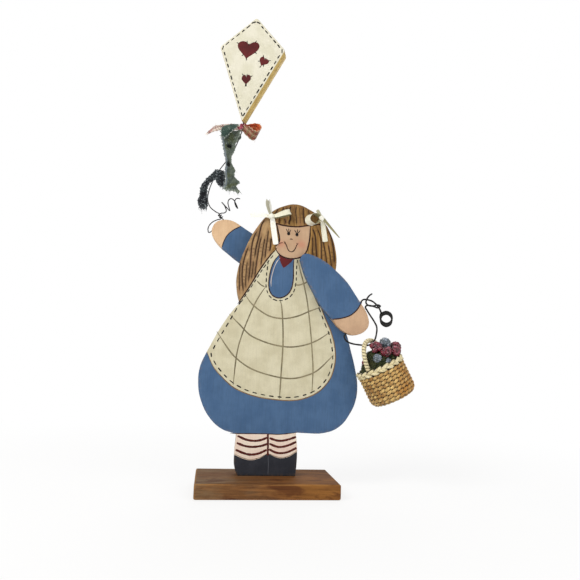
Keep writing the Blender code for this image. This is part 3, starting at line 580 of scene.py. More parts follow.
# Presses the grooves into the front, and marks them and the shadow beside them for the stain
def sinkGrooves(shape, places, front, grooves):
    dots, sizes = [], []
    for points, half, depth in grooves:
        line = grooveLine(points, 0.4)
        for i, p in enumerate(line):
            t = i / (len(line) - 1)
            dots.append((p.x, p.y))
            sizes.append((half, depth * min(1, 6 * t + 0.25, 5 * (1 - t) + 0.2)))
    gap, which = nearest(places, np.array(dots))
    half, depth = np.array(sizes)[which].T
    atFront = np.array([v.co.y < front + flush for v in shape.verts])
    for vert, down in zip(shape.verts, np.where(atFront, depth * np.clip(1 - gap / half, 0, 1), 0)):
        vert.co.y += down * mm
    return {"groove": np.where(atFront, np.exp(-(gap / (half * 1.15)) ** 2) * np.clip(depth / 0.6, 0, 1), 0),
            "shadow": np.where(atFront, np.exp(-(gap / 2.2) ** 2), 0)}


def rounded(h):
    return (-1, -0.04), (-0.7, h), (0, h * 1.2), (0.7, h), (1, -0.04)


# A paint stroke: a low rounded ribbon that lies on a board's face. Points are (x, z) in millimetres.
def addStroke(shape, points, width, level, height, taper=0.35, seed=0, slot=0):
    line = [Vector((x, z, 0)) for x, z in points]
    if len(line) > 2:
        line = smoothLine(line, 0.8)
    line = evenly(line, 0.8)
    rings = []
    for i, p in enumerate(line):
        ahead = aheadAt(line, i)
        t = i / max(len(line) - 1, 1)
        half = width / 2 * (1 + 0.22 * drift(p.x * 0.5, p.y * 0.5, seed))
        half *= min(1, taper + 5 * t, taper + 5 * (1 - t))
        across = Vector((-ahead.y, ahead.x, 0))
        spots = [(p + across * half * a, h) for a, h in rounded(height)]
        rings.append([shape.verts.new((q.x * mm, level - h * mm, q.y * mm)) for q, h in spots])
    joinRings(shape, rings, slot)
    capEnds(shape, rings, slot)


# A low painted patch with a rounded border
def addPatch(shape, outline, level, height, slot=0):
    line = evenly([Vector((x, z, 0)) for x, z in outline], 0.5, closed=True)
    middle = sum(line, Vector()) / len(line)
    rings = []
    for shrink, h in ((1, -0.04), (0.97, height * 0.8), (0.9, height), (0.6, height * 1.08), (0.3, height * 1.1)):
        rings.append([shape.verts.new(((middle.x + (p.x - middle.x) * shrink) * mm, level - h * mm,
                                       (middle.y + (p.y - middle.y) * shrink) * mm)) for p in line])
    joinRings(shape, rings, slot)
    capEnds(shape, rings, slot)


# One dash with rounded ends, a unit long, wide and high
def stitchDash(name):
    unit = bmesh.new()
    rings = []
    for t in (i / 6 for i in range(7)):
        half = 0.5 * min(1, 0.5 + 3 * t, 0.5 + 3 * (1 - t))
        rings.append([unit.verts.new((t - 0.5, a * half, h)) for a, h in ((-1, -0.3), (-0.7, 0.8), (0, 1), (0.7, 0.8),
            (1, -0.3))])
    joinRings(unit, rings)
    capEnds(unit, rings)
    return placed(name + "_dash", meshFrom(name + "_dash", unit))


# Rows of stitches: one dash after another along guide lines
def stitchRow(name, guides, level, stitch, material, seed, flat=None):
    shape = bmesh.new()
    for points in guides:
        line = evenly([Vector((x, z, 0)) for x, z in points], 0.7)
        verts = [shape.verts.new((p.x * mm, level, p.y * mm)) for p in line]
        for a, b in zip(verts, verts[1:]):
            shape.edges.new((a, b))
    host = placed(name + "_guide", meshFrom(name + "_guide", shape))

    def layOut(tree, given):
        curve = addNode(tree, "GeometryNodeMeshToCurve", {"Mesh": given["Geometry"]})
        even = addNode(tree, "GeometryNodeResampleCurve", {"Curve": curve.outputs["Curve"], "Length": given["Pitch"]},
                       mode="LENGTH")
        points = addNode(tree, "GeometryNodeCurveToPoints", {"Curve": even.outputs[0]}, mode="EVALUATED")
        vary = varied(tree, given, (0.78, 0.8, 0.9), (1.15, 1.2, 1.1))
        size = addNode(tree, "ShaderNodeCombineXYZ", {"X": given["Length"], "Y": given["Width"], "Z": given["Height"]})
        scaled = addNode(tree, "ShaderNodeVectorMath", {0: size.outputs[0], 1: vary.outputs[0]}, operation="MULTIPLY")
        align = addNode(tree, "FunctionNodeAlignRotationToVector", {"Vector": points.outputs["Tangent"]}, axis="X")
        face = addNode(tree, "FunctionNodeAlignRotationToVector", {"Rotation": align.outputs[0], "Vector": (0, -1, 0)},
                       axis="Z", pivot_axis="X")
        return points.outputs["Points"], face.outputs[0], scaled.outputs[0]

    dash, pitch, width = stitch
    return scattered(name, host, stitchDash(name), {
        "Pitch": ("Float", pitch * mm), "Length": ("Float", dash * mm), "Width": ("Float", width * mm),
        "Height": ("Float", 0.16 * mm), "Seed": ("Int", seed)}, material, layOut, flat)


# Which node of the frame a piece stands for, and the body that carries it
def settle(piece, body, node=None):
    if node:
        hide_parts(node)
    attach(piece, body)
    return piece


# The figure's paints (tone, second tone, grain, wear, worn tone, specks, blush), and the sizes of its lines and
# stitches in millimetres
figureLook = {
    "paints": {
        "dress_blue_paint": ((74, 104, 140), (64, 94, 130), 0.3, 0.35, (150, 120, 80)),
        "apron_cream_paint": ((212, 205, 177), (198, 190, 160), 0.14, 0, None, (140, 116, 84)),
        "skin_paint": ((194, 162, 131), (185, 151, 120), 0.14, 0.3, (150, 112, 62), None, (196, 108, 88)),
        "lowered_hand_paint": ((202, 168, 136), (190, 156, 126), 0.16, 0.3, (150, 112, 62), (150, 122, 100)),
        "raised_hand_paint": ((222, 188, 150), (212, 176, 138), 0.14, 0.3, (150, 112, 62), (184, 150, 116)),
        "stocking_cream_paint": ((236, 220, 202), (232, 206, 190), 0.1, 0.2, (150, 112, 62)),
        "shoe_black_paint": ((38, 40, 48), (48, 50, 58), 0.2, 0.4, (96, 74, 52), (70, 72, 80)),
        "shoe_line_grey": ((92, 94, 102), (76, 78, 86), 0.2),
        "burnt_line": ((44, 24, 17), (60, 32, 22), 0.2),
        "ink_line": ((13, 12, 13), (22, 19, 20), 0.2),
        "heart_wine_paint": ((98, 27, 29), (76, 19, 21), 0.3),
        "plaid_line_and_shade_olive": ((112, 104, 80), (146, 136, 108), 0.3),
        "hem_line_brown": ((112, 86, 60), (146, 120, 88), 0.3),
        "stripe_maroon": ((74, 26, 20), (90, 34, 26), 0.2),
        # a painted highlight along the inside of the neckline
        "neck_painted_highlight": ((206, 196, 190), (188, 176, 168), 0.2),
    },
    "hair": {"deep": (134, 98, 44), "light": (182, 142, 80), "strand": (216, 178, 116), "dark": (116, 80, 44),
        "top": (96, 70, 38), "right": (122, 84, 32), "left": (188, 158, 122), "pink": (166, 122, 92),
        "shadow": (108, 70, 40), "groove": (50, 28, 16), "edge": (84, 54, 30)},
    "grid": 1.5, "lineHeight": 0.13, "plaidHeight": 0.1, "pupil": 1.45, "pupilHeight": 0.28, "collarHeight": 0.12,
    "strapStitch": (3.7, 5.3, 1), "edgeStitch": (4.4, 7.5, 1.1),
}
(blue, cream, skin, lowHandSkin, highHandSkin, stocking, shoe, shoeLine, burnt, ink, wine, olive, hemLine, maroon,
 neckHighlight) = (paint(name, *tones) for name, tones in figureLook["paints"].items())


def hairFinish():
    tones = figureLook["hair"]
    look = Finish("hair_burned_and_stained", 0.62, 0.22)
    strand = look.mark("strand")
    high = look.axes()["Z"]
    spot = look.put("CombineXYZ", {"X": strand, "Y": look.times(high, 9)}).outputs[0]
    broad = look.cloud(spot, 0.62)
    fine = look.cloud(spot, 3.4, 4)
    look.base(broad, 0.36, 0.64, tones["deep"], tones["light"])
    look.tint(tones["strand"], fine, 0.52, 0.72, 0.75)
    look.tint(tones["dark"], fine, 0.46, 0.3, 0.55)
    across = look.axes()["X"]
    look.tint(tones["top"], high, 0.236, 0.244, 0.4)
    look.tint(tones["right"], across, 0.03, 0.036, 0.3)
    look.tint(tones["left"], across, 0.001, -0.006, 0.52)
    look.tint(tones["pink"], look.grain(240, (1, 1, 0.15), 3), 0.54, 0.68, 0.5)
    look.tint(tones["shadow"], look.mark("shadow"), 0.25, 1, 0.35)
    look.tint(tones["groove"], look.mark("groove"), 0.22, 0.8)
    edge = look.times(look.mark("rim"), look.ramp(look.grain(300), 0.42, 0.6))
    look.over(look.times(edge, 0.55), tones["edge"])
    look.bump(fine, 0.45, 0.0003)
    look.bump(look.grain(1800, (1, 1, 0.1)), 0.35, 0.0002)
    return look.done()


hair = hairFinish()

# The figure's painted borders and lines, in millimetres: x, and height above the table
figureLines = {
    "fringe": [(-2.2, 238.9), (1.7, 238.2), (7.8, 236.9), (16.2, 236.3), (23.7, 236.7), (33, 238.6), (44.5, 240.2)],
    "face": [(1.8, 238.2), (3.6, 231.3), (5.2, 223.5), (3.9, 219.6), (1.4, 216.4), (2.4, 213.5), (5.1, 209.9),
        (8.9, 207.4), (15.4, 206.2), (20.9, 206.7), (26.4, 208.8), (30.5, 213.7), (32.2, 219.9), (33.3, 228.5),
        (33.3, 238.6)],
    "dressLeft": [(2, 214.4), (-2.2, 209), (-6.6, 202.8), (-11.7, 194.6), (-17.7, 183.8), (-23.5, 173.5),
        (-29.6, 163.4)],
    "neck": [(5.6, 209.6), (1, 203.2), (-1.9, 194.7), (-3.2, 185.5), (-2.9, 178.2), (-0.9, 173.2), (2.4, 170.4),
        (6.6, 169.5), (11.1, 170.8), (15.5, 174.5), (18.1, 180.1), (19.1, 187.5), (19, 195.9), (19, 203.3),
        (19.4, 206.6)],
    "apronRight": [(25.6, 208.2), (27.6, 201.9), (30.6, 195.6), (34.6, 186.5), (39.5, 175.7), (44.5, 164.9),
        (50.4, 151.4), (55.4, 140.6), (58.9, 128.9), (60.1, 118.1), (59, 108.2), (55.5, 98.2), (48.4, 89.1),
        (39.5, 83.1), (28.7, 79.3), (17.9, 78.2), (5.4, 78.7), (-8.9, 80.6), (-20.6, 83.8), (-31.4, 88.7),
        (-41.4, 97.1), (-49.8, 106.5), (-55.6, 118.6)],
    "hairRight": [(31.2, 208.2), (36, 206.5), (42, 203), (50, 198), (60, 192)],
    "hem": [(-32.1, 48.4), (-25.2, 48.2), (-14.7, 48.6), (-4.1, 48.5), (0.3, 48.7), (11.8, 48.5), (26.1, 50.2)],
    "shoeLeft": [(-27.6, 30.6), (-20.8, 27.6), (-13.7, 26.1), (-5.9, 27.6), (1.6, 32.2)],
    "shoeRight": [(1.6, 32.2), (8.1, 29.2), (13.5, 28.1), (20.5, 29.5), (28.4, 34.6)],
}
dressLeft = figureLines["dressLeft"]
apronOutline = ([(-33, 160), *dressLeft[-2::-1], (5, 216)] + figureLines["apronRight"] + [(-70, 120), (-60, 140),
    (-40, 160)])
hairOutline = ([*dressLeft, (-40, 150), (-50, 200), (-30, 290), (60, 290),
    (80, 200)] + figureLines["hairRight"][::-1] + [(20, 212)])
backHair = [(-33, 172), (-20, 186), (-5, 192), (14, 195), (32, 195), (48, 195), (60, 196)]


def pointsIn(x, z, outline):
    return insideLoops(np.column_stack([x, z]), [np.array(outline)])


def alongLine(x, line):
    return np.interp(x, [p[0] for p in line], [p[1] for p in line])


# Paint of each place on the figure: 0 dress, 1 apron, 2 face, 3 hair, 4 stockings, 5 shoes
def figureZones(x, z, facing):
    front, back = facing < -0.9, facing > 0.9
    side = ~(front | back)
    zones = np.zeros(len(x), int)
    zones[front & (z > 77) & pointsIn(x, z, apronOutline)] = 1
    zones[front & (z > 160) & pointsIn(x, z, hairOutline)] = 3
    zones[front & pointsIn(x, z, figureLines["neck"] + [(12, 212)])] = 0
    zones[front & pointsIn(x, z, figureLines["face"] + figureLines["fringe"][-3:0:-1])] = 2
    zones[back & (z > alongLine(x, backHair))] = 3
    zones[side & (((z > 163) & (x < 0)) | (z > 195))] = 3
    legs = z < np.where(side, 49.5, np.where(front, alongLine(x, figureLines["hem"]), 48.5))
    zones[legs & (np.abs(x) < 30)] = 4
    shoes = np.where(front, alongLine(x, figureLines["shoeLeft"] + figureLines["shoeRight"][1:]), 30.2)
    zones[z < shoes] = 5
    return zones


# Burned hair grooves: points, half width and depth in millimetres
hairGrooves = [
    ([(-8.1, 241.3), (-11.2, 237.8), (-12.8, 232.1), (-13.9, 225.5), (-15.2, 219), (-16.4, 212), (-17.2, 204)], 0.7,
        0.8),
    ([(-15, 231.5), (-18, 225.3), (-19.6, 218.7), (-20.4, 210.3), (-20.6, 201.1), (-21.1, 190.9), (-22, 180.8)], 0.65,
        0.8),
    ([(-22.6, 216), (-24.7, 209.9), (-26.4, 203.3), (-27.5, 195.9), (-27.6, 187.7), (-26.9, 180.4), (-25.6, 172.3)],
        0.65, 0.8),
    ([(-11.1, 226.8), (-13, 218.2), (-14.2, 208.7), (-15.2, 199.5), (-15.9, 191.2), (-16.6, 185)], 0.6, 0.7),
    ([(-8.1, 225), (-9.4, 216.5), (-10.2, 208.1), (-10.8, 201.6), (-11.1, 197.1)], 0.55, 0.7),
    ([(-5.4, 232.7), (-5.9, 224.3), (-6.8, 215.9), (-7.4, 208.4), (-7.7, 203.8)], 0.6, 0.7),
    ([(-17.9, 203.2), (-18.3, 193.8), (-19.3, 184.5)], 0.5, 0.6),
    ([(-23.4, 202.9), (-24.1, 191.7), (-24.2, 182.6), (-23.6, 175.2)], 0.5, 0.6),
    ([(-29.6, 202), (-30.2, 192), (-29.8, 182), (-29.2, 172)], 0.5, 0.6),
    ([(-2.6, 224.5), (-2.8, 218.6), (-3.6, 211.6)], 0.8, 0.8),
    ([(2.7, 252), (1.6, 249.6), (-0.5, 246), (-3.5, 243.6)], 0.6, 0.7),
    ([(8.2, 253.8), (7.2, 250.6), (5.4, 246.4), (3.6, 243.8)], 0.6, 0.7),
    ([(11.4, 254.6), (10.2, 250.4), (8.6, 246.2)], 0.5, 0.6),
    ([(14.6, 255.9), (13.4, 250), (14.6, 244.3), (13.4, 240), (14.2, 237.3)], 0.85, 0.9),
    ([(9, 243.4), (9.8, 240.4), (9.5, 237.6)], 0.5, 0.6),
    ([(4.4, 243.1), (4, 240.4), (4.8, 238.2)], 0.5, 0.6),
    ([(19.8, 256.5), (19.3, 250.3), (20.1, 244), (20.5, 237.6)], 0.5, 0.65),
    ([(16.9, 255.9), (16.7, 248), (17.4, 238)], 0.4, 0.4),
    ([(26.3, 255.4), (26.5, 248.9), (27.4, 242.5), (28, 238.2)], 0.6, 0.7),
    ([(22.8, 255.8), (23.4, 247), (23.9, 238.2)], 0.4, 0.45),
    ([(31, 253.6), (32.4, 247.4), (33, 240.6)], 0.5, 0.65),
    ([(36.4, 250.9), (37.6, 247.3)], 0.5, 0.6),
    ([(35.1, 236.4), (37.2, 231.9), (38.6, 226.4), (39.2, 219.8), (39.8, 213.2), (40.4, 206.2), (40.6, 203.6)], 0.75,
        0.85),
    ([(39.6, 236.8), (42.3, 230.4), (44.1, 222.9), (44.6, 214.6), (45, 206), (45.2, 201.2)], 0.55, 0.7),
    ([(45.1, 226.7), (47.1, 218.3), (48.9, 209.9), (50.1, 200.4)], 0.55, 0.7),
    ([(49.9, 237.3), (53, 229.9), (55, 221.4), (56.4, 212.8), (57, 203)], 0.8, 0.8),
    ([(50.4, 222.2), (52.3, 213.8), (53.7, 205.4), (54.4, 197.8)], 0.55, 0.7),
    ([(35.5, 228.7), (36.3, 221.1), (36.2, 214.5), (37, 208.6)], 0.6, 0.7),
]


# Where a place lies in its strand of hair, and how much of a blush it has
def figureExtras(places):
    x, z = places[:, 0], places[:, 1]
    left = np.interp(z, [163, 178, 191, 202, 214, 223, 233, 242, 252, 262],
                     [-29, -32, -32, -29, -25, -20, -15, -9, -2, 5])
    inner = np.interp(z, [163, 173, 184, 195, 209, 216, 224, 239, 262], [-28, -22, -17, -11, -2, 2, 5, 2, 6])
    rightIn = np.interp(z, [190, 206, 214, 240, 262], [30, 30, 31, 34, 34])
    rightOut = np.interp(z, [190, 207, 218, 229, 245, 262], [58, 59, 57, 54, 44, 36])
    strand = np.where(x < 6, (x - left) / np.maximum(inner - left, 4) * 26,
                      np.where(x > 33, 60 + (x - rightIn) / np.maximum(rightOut - rightIn, 4) * 24, x + 26))
    strand = np.where((z > 238) & (x > 0) & (x < 36), x + 26 + (z - 238) * 0.02 * (x - 17), strand)
    blush = (np.exp(-(((x - 6.4) / 3.6) ** 2 + ((z - 219.5) / 3.4) ** 2))
             + np.exp(-(((x - 25.6) / 4.2) ** 2 + ((z - 219.8) / 3.8) ** 2)))
    return {"strand": strand, "blush": np.clip(blush, 0, 1)}


identity = Matrix.Identity(4)
backBorders = [backHair, [(-32.1, 48.5), (-3, 48.5), (26.1, 48.5)], [(-28, 30.2), (0, 30.2), (28.4, 30.2)]]
figure = paintedBoard("figure_board", "body_board", identity, list(figureLines.values()), figureZones,
                      [blue, cream, skin, hair, stocking, shoe], figureLook["grid"], hairGrooves, figureExtras,
                      backBorders)
settle(figure, "figure", "body_board")
print("figure done")


def addDot(shape, x, z, radius, level, height, slot):
    addPatch(shape, [(x + radius * cos(a), z + radius * 1.1 * sin(a)) for a in angles(18)],
             level, height, slot)


# Painted and burned lines on the figure's face side: points, width, and a place in this list of paints
lineWork = bmesh.new()
lineMaterials = [burnt, ink, wine, olive, hemLine, maroon, neckHighlight, shoeLine]
plaidAndShadeSlot, stripeSlot = 3, 5
for points, width, slot in (
    (figureLines["fringe"], 1.45, 0),
    (figureLines["face"][:5], 1.35, 0),
    (figureLines["face"][4:], 1.45, 0),
    ([(3.2, 215.6), (0.6, 212.2), *dressLeft[1:-1], (-30.6, 162.2)], 1.35, 0),
    ([(4.6, 210.4)] + figureLines["neck"], 1.15, 0),
    # A painted highlight just inside the neckline's left edge
    ([(6.2, 206.4), (3, 201.8), (0.3, 194.2), (-1.2, 185.5), (-1, 179.4)], 0.8, 6),
    (figureLines["apronRight"], 1.05, 4),
    # Painted shade along the apron's right strap, beside the lowered arm
    ([(27, 200.2), (29.6, 194.2), (33.4, 185.8), (38.2, 175.2), (43, 164.4)], 1.5, 3),
    ([(-32.1, 48.6), (-14.7, 48.7), (0.3, 48.8), (11.8, 48.6), (27.1, 50.4)], 0.8, 0),
    ([(-14, 184), (-10.2, 180.6), (-6.8, 179.1)], 1.3, 3),
    ([(20.1, 182.3), (24.5, 182.3), (29.6, 184.2), (33.2, 186.4)], 1.35, 3),
    ([(-23.4, 169.9), (-17.7, 162.9), (-8.4, 156.1), (0.8, 152), (12.7, 151.1), (24.5, 153.9), (35.4, 158.9),
        (45, 162.7)], 1.45, 3),
    ([(-37.6, 153), (-27.6, 143.6), (-18.3, 135), (-7.3, 130.1), (4.5, 126.9), (18.1, 125.6), (31.7, 127.9),
        (43.5, 132.9), (54.2, 140.2)], 1.45, 3),
    ([(-47.9, 137), (-38.3, 123.6), (-30.8, 115), (-18.9, 106.6), (-6.2, 101.7), (10, 98.2), (21.8, 97.7),
        (32.6, 100.2), (44.3, 105.9), (58.4, 120)], 1.45, 3),
    ([(-5.7, 179.8), (-12.5, 168.6), (-17.5, 157.5), (-24.7, 137.4), (-29.2, 118.6), (-31.4, 90.4)], 1.3, 3),
    ([(7.5, 168.6), (9.7, 158.7), (11.6, 131.7), (10.9, 100.4), (10.2, 79.4)], 1.45, 3),
    ([(22.6, 205.5), (25.6, 194.4), (28.4, 185.1), (32.3, 168.9), (35.8, 146.2), (38.3, 123.7), (39.7, 105.8),
        (39.3, 84.9)], 1.3, 3),
    ([(-25.4, 46.6), (-18, 43.6), (-10.9, 42.6), (-4.8, 43.4), (0.6, 45.6)], 2.1, 5),
    ([(-25.9, 40.6), (-18.6, 38.1), (-11.6, 37.4), (-4.6, 38.3), (0.8, 40.1)], 2.1, 5),
    ([(-26.7, 34.8), (-19.2, 31.9), (-13.1, 30.8), (-6.1, 32), (0.8, 35.2)], 2.1, 5),
    ([(2.6, 45.2), (9.4, 43.2), (14.7, 43.2), (20.9, 44.7), (26.2, 46.6)], 2.1, 5),
    ([(2.6, 40.4), (8.7, 38.1), (13.1, 37.7), (19.3, 39.1), (26.6, 42.3)], 2.1, 5),
    ([(2.6, 35.6), (8, 33.1), (13.3, 32.4), (19.5, 33.5), (27, 37.1)], 2.1, 5),
    ([(1.1, 48.4), (1.5, 38.4), (1.7, 30.4)], 2, 5),
    ([(2, 30.1), (2.5, 21.3), (2.4, 13.6)], 0.55, 7),
    ([(-27.2, 31.2), (-20.6, 28.2), (-13.6, 26.7), (-5.9, 28.2), (0.6, 31.6)], 0.5, 4),
    ([(2.8, 31.8), (8.1, 29.8), (13.5, 28.7), (20.5, 30.1), (28, 34.9)], 0.5, 4),
    ([(9.2, 222.3), (10, 220.9), (11.7, 218.5), (12.6, 215.7), (14.2, 213.4), (16.4, 212.6), (18.6, 213.7),
        (20.3, 216.6), (21.3, 219.4), (22.6, 221)], 0.9, 0),
    ([(9.4, 219.8), (10.9, 221.6)], 0.55, 0),
    ([(20.6, 221.3), (22.4, 219.6)], 0.55, 0),
    ([(3.9, 219.3), (6, 220.2), (8.3, 220.7)], 0.65, 5),
    ([(14.6, 224.3), (16, 224.6), (17.3, 224.3)], 0.95, 0),
    ([(12.9, 230.4), (11.5, 232.6), (10.9, 234)], 0.75, 1),
    ([(13.4, 230.6), (13.4, 232.8), (13.2, 234.2)], 0.72, 1),
    ([(13.9, 230.4), (14.9, 232.2), (15.3, 233.4)], 0.72, 1),
    ([(20.7, 230.1), (19.3, 232.2), (18.7, 233.4)], 0.72, 1),
    ([(21.2, 230.3), (21.4, 232.8), (21.4, 234.2)], 0.72, 1),
    ([(21.7, 230.1), (23.2, 232), (23.9, 233.2)], 0.75, 1),
):
    height = figureLook["plaidHeight" if slot == plaidAndShadeSlot else "lineHeight"]
    addStroke(lineWork, points, width, 0, height, 0.8 if slot == stripeSlot else 0.35, width * 7 + points[0][0], slot)
for x, z in ((13.3, 229.4), (21.1, 229)):
    addDot(lineWork, x, z, figureLook["pupil"], 0, figureLook["pupilHeight"], 1)
addPatch(lineWork, [(5.2, 208.6), (5.7, 205.2), (7, 201.6), (8.5, 198.7), (9.9, 197.2), (11.5, 198.4), (13.8, 200.4),
    (16.6, 203), (18.6, 206.1), (15.4, 205.6), (12, 205.9), (8.9, 206.8)], 0, figureLook["collarHeight"], 2)
settle(meshPiece("figure_painted_lines", lineWork, lineMaterials, 60), "figure")

sunk = 0.02 * mm  # how deep a stitch's foot sits in the paint
settle(stitchRow("apron_strap_stitches", [
    [(-1.4, 206.8), (-5.2, 201.4), (-9.6, 194.8), (-15, 185.2), (-21, 175.2), (-26.9, 165.4)],
    [(-4.6, 201.6), (-5.6, 189.9), (-5.6, 178.9), (-3.4, 171.9), (1.1, 168), (6.6, 166.8), (12.4, 168.2), (17.4, 172),
        (20.9, 178.2), (21.8, 187.2), (21.7, 197.9), (22.2, 204)],
    [(26, 203.2), (29, 196.4), (33.4, 186.6), (38.2, 176), (43.2, 165.2)]], -sunk, figureLook["strapStitch"], ink, 3),
        "figure")
settle(stitchRow("apron_edge_stitches", [
    [(-28.6, 163.4), (-37.2, 146.6), (-43.3, 135.4), (-48.9, 124.6), (-52.2, 116.9), (-47.2, 107.4), (-39.8, 99.2),
        (-30.6, 91.4), (-19, 86.1), (-8.9, 83.3), (5.4, 81.2), (17.9, 80.8), (28.4, 81.8), (38.8, 85.6), (46.9, 91.1),
        (53.4, 99.4), (56.6, 108.8), (57.7, 118.2), (56.5, 128.4), (53.2, 139.8), (48.3, 150.6), (44.2, 160.6)]], -sunk,
        figureLook["edgeStitch"], ink, 8), "figure")
print("lines and stitches done")


# Sleeve hems in millimetres; everything below them is hand
armLook = {"grid": 1.8, "lowHemWidth": 1.15, "highHemWidth": 0.85}
lowHem = [(82.6, 169.4), (81, 167), (77.4, 161.2), (71.2, 155.9), (62.6, 152.9), (54.4, 151.6)]
highHem = [(-29.6, 237.4), (-30.6, 236.4), (-37.4, 232.3), (-42.3, 227.4), (-45.2, 221.6), (-47.3, 214.4)]


def lowZones(x, z, facing):
    return np.where(pointsIn(x, z, [(96, 176)] + lowHem + [(44, 150), (50, 130), (100, 130)]), 1, 0)


def highZones(x, z, facing):
    return np.where(pointsIn(x, z, [(-20, 250)] + highHem + [(-52, 206), (-80, 225), (-50, 256)]), 1, 0)


lowArm = paintedBoard("lowered_arm_board", "lowered_arm", identity, [lowHem], lowZones, [blue, lowHandSkin],
                      armLook["grid"], backLines=[lowHem])
highArm = paintedBoard("raised_arm_board", "raised_arm", identity, [highHem], highZones, [blue, highHandSkin],
                       armLook["grid"], backLines=[highHem])
hems = bmesh.new()
addStroke(hems, [(82, 168.4)] + lowHem[1:-1] + [(55.2, 151.8)], armLook["lowHemWidth"], -6.7 * mm, 0.14, 0.7, 4)
addStroke(hems, highHem[1:-1] + [(-46.9, 216)], armLook["highHemWidth"], 13 * mm, 0.12, 0.7, 9)
settle(lowArm, "figure", "lowered_arm")
settle(highArm, "figure", "raised_arm")
settle(meshPiece("sleeve_hem_lines", hems, [burnt], 60), "figure")
print("arms done")

# The kite's place, paints, hearts and stitches; a heart has its place, width, height, turn, sharpness and ticks
kiteLook = {
    "tip": (-32.4, 14.1, 336.3), "turn": -15, "lean": 5.6, "face": -6.35, "grid": 2,
    "cream": ((222, 218, 200), (212, 208, 186), 0.08, 0.2, (226, 216, 180), (176, 162, 130)),
    "edge": ((212, 182, 104), (184, 152, 80)),
    "hearts": (((-4.2, 71), 21.8, 18.6, 0.05, 1, (1, 6, 13, 18, 25, 31, 36, 39)), ((12.4, 60.2), 9.8, 9.4, 0.42,
        1, (2, 8, 15, 21, 27, 34)), ((-1.6, 41), 9.2, 11.4, -0.08, 1.5, (3, 9, 17, 23, 33))),
    "heartHeight": 0.16, "tick": (-1, 1.8), "tickWidth": 0.85, "tickHeight": 0.17,
    "border": [(-1.1, 7.2), (-29.4, 73.1), (0, 102.2), (29.4, 73.1), (1.1, 7.2)], "stitch": (4.1, 6.4, 1.25),
}
kiteFrame = (Matrix.Translation(Vector(kiteLook["tip"]) * mm) @ Matrix.Rotation(radians(kiteLook["turn"]), 4, "Z")
             @ Matrix.Rotation(radians(kiteLook["lean"]), 4, "Y"))
kiteFlat = kiteFrame.inverted()
kiteFace = kiteLook["face"] * mm
kiteCream = paint("kite_cream_paint", *kiteLook["cream"])
ochre = bareWood("bare_ochre_edge", *kiteLook["edge"], roughness=0.6)


def kiteZones(x, z, facing):
    return np.where(np.abs(facing) > 0.7, 0, 1)


kite = paintedBoard("kite_sawn_board", "kite_board", kiteFlat, [], kiteZones, [kiteCream, ochre], kiteLook["grid"])


def heartOutline(x, z, wide, tall, turn, sharp):
    out = []
    for a in angles(40):
        px = sin(a) ** 3
        pz = (13 * cos(a) - 5 * cos(2 * a) - 2 * cos(3 * a) - cos(4 * a)) / 29 + 0.09
        px *= 1 - (sharp - 1) * max(0, -pz)
        px, pz = px * wide / 2, pz * tall
        wobble = 1 + 0.03 * sin(5 * a + x)
        out.append((x + (px * cos(turn) + pz * sin(turn)) * wobble,
                    z + (-px * sin(turn) + pz * cos(turn)) * wobble))
    return out


hearts = bmesh.new()
for place, wide, tall, turn, sharp, ticks in kiteLook["hearts"]:
    outline = heartOutline(*place, wide, tall, turn, sharp)
    addPatch(hearts, outline, kiteFace, kiteLook["heartHeight"])
    middle = Vector([sum(values) for values in zip(*outline)]) / len(outline)
    for k in ticks:
        spot = Vector(outline[k])
        away = (spot - middle).normalized()
        addStroke(hearts, [spot + away * reach for reach in kiteLook["tick"]], kiteLook["tickWidth"], kiteFace,
                  kiteLook["tickHeight"], seed=k, slot=1)
hearts.transform(kiteFrame)
settle(kite, "kite", "kite_board")
settle(meshPiece("kite_hearts", hearts, [wine, ink], 60), "kite")
settle(stitchRow("kite_border_stitches", [kiteLook["border"]], kiteFace - sunk, kiteLook["stitch"], ink, 21, kiteFlat),
       "kite")
print("kite done")


# Stiff black wire: radii in millimetres, the turns wound round the kite's wire, and the basket wire's coil
wireLook = {
    "tones": ((20, 20, 20), (42, 39, 36), (74, 58, 44)),
    "kite": {"radius": 0.475, "wound": 2.25, "woundRadius": 1.47, "depth": 16.2},
    "basket": {"radius": 0.76, "coilTurns": 3.65, "coilRadius": 5.5, "coilPitch": 1.6, "coilStart": 20, "depth": -3.5},
}


def fromFeet(points):
    return [Vector((x, y, z + feet)) for x, y, z in points]


def highAt(points):
    return [Vector((x * mm, y * mm, (z + feet) * mm)) for x, y, z in points]


def windingPoints(start, end, radius, turns, count=12):
    along = (end - start).normalized()
    side = along.cross(Vector((0, 1, 0))).normalized()
    top = along.cross(side)
    points = []
    for t in (i / (turns * count) for i in range(round(turns * count) + 1)):
        angle = tau * turns * t
        points.append(start.lerp(end, t) + side * radius * cos(angle) + top * radius * sin(angle))
    return points


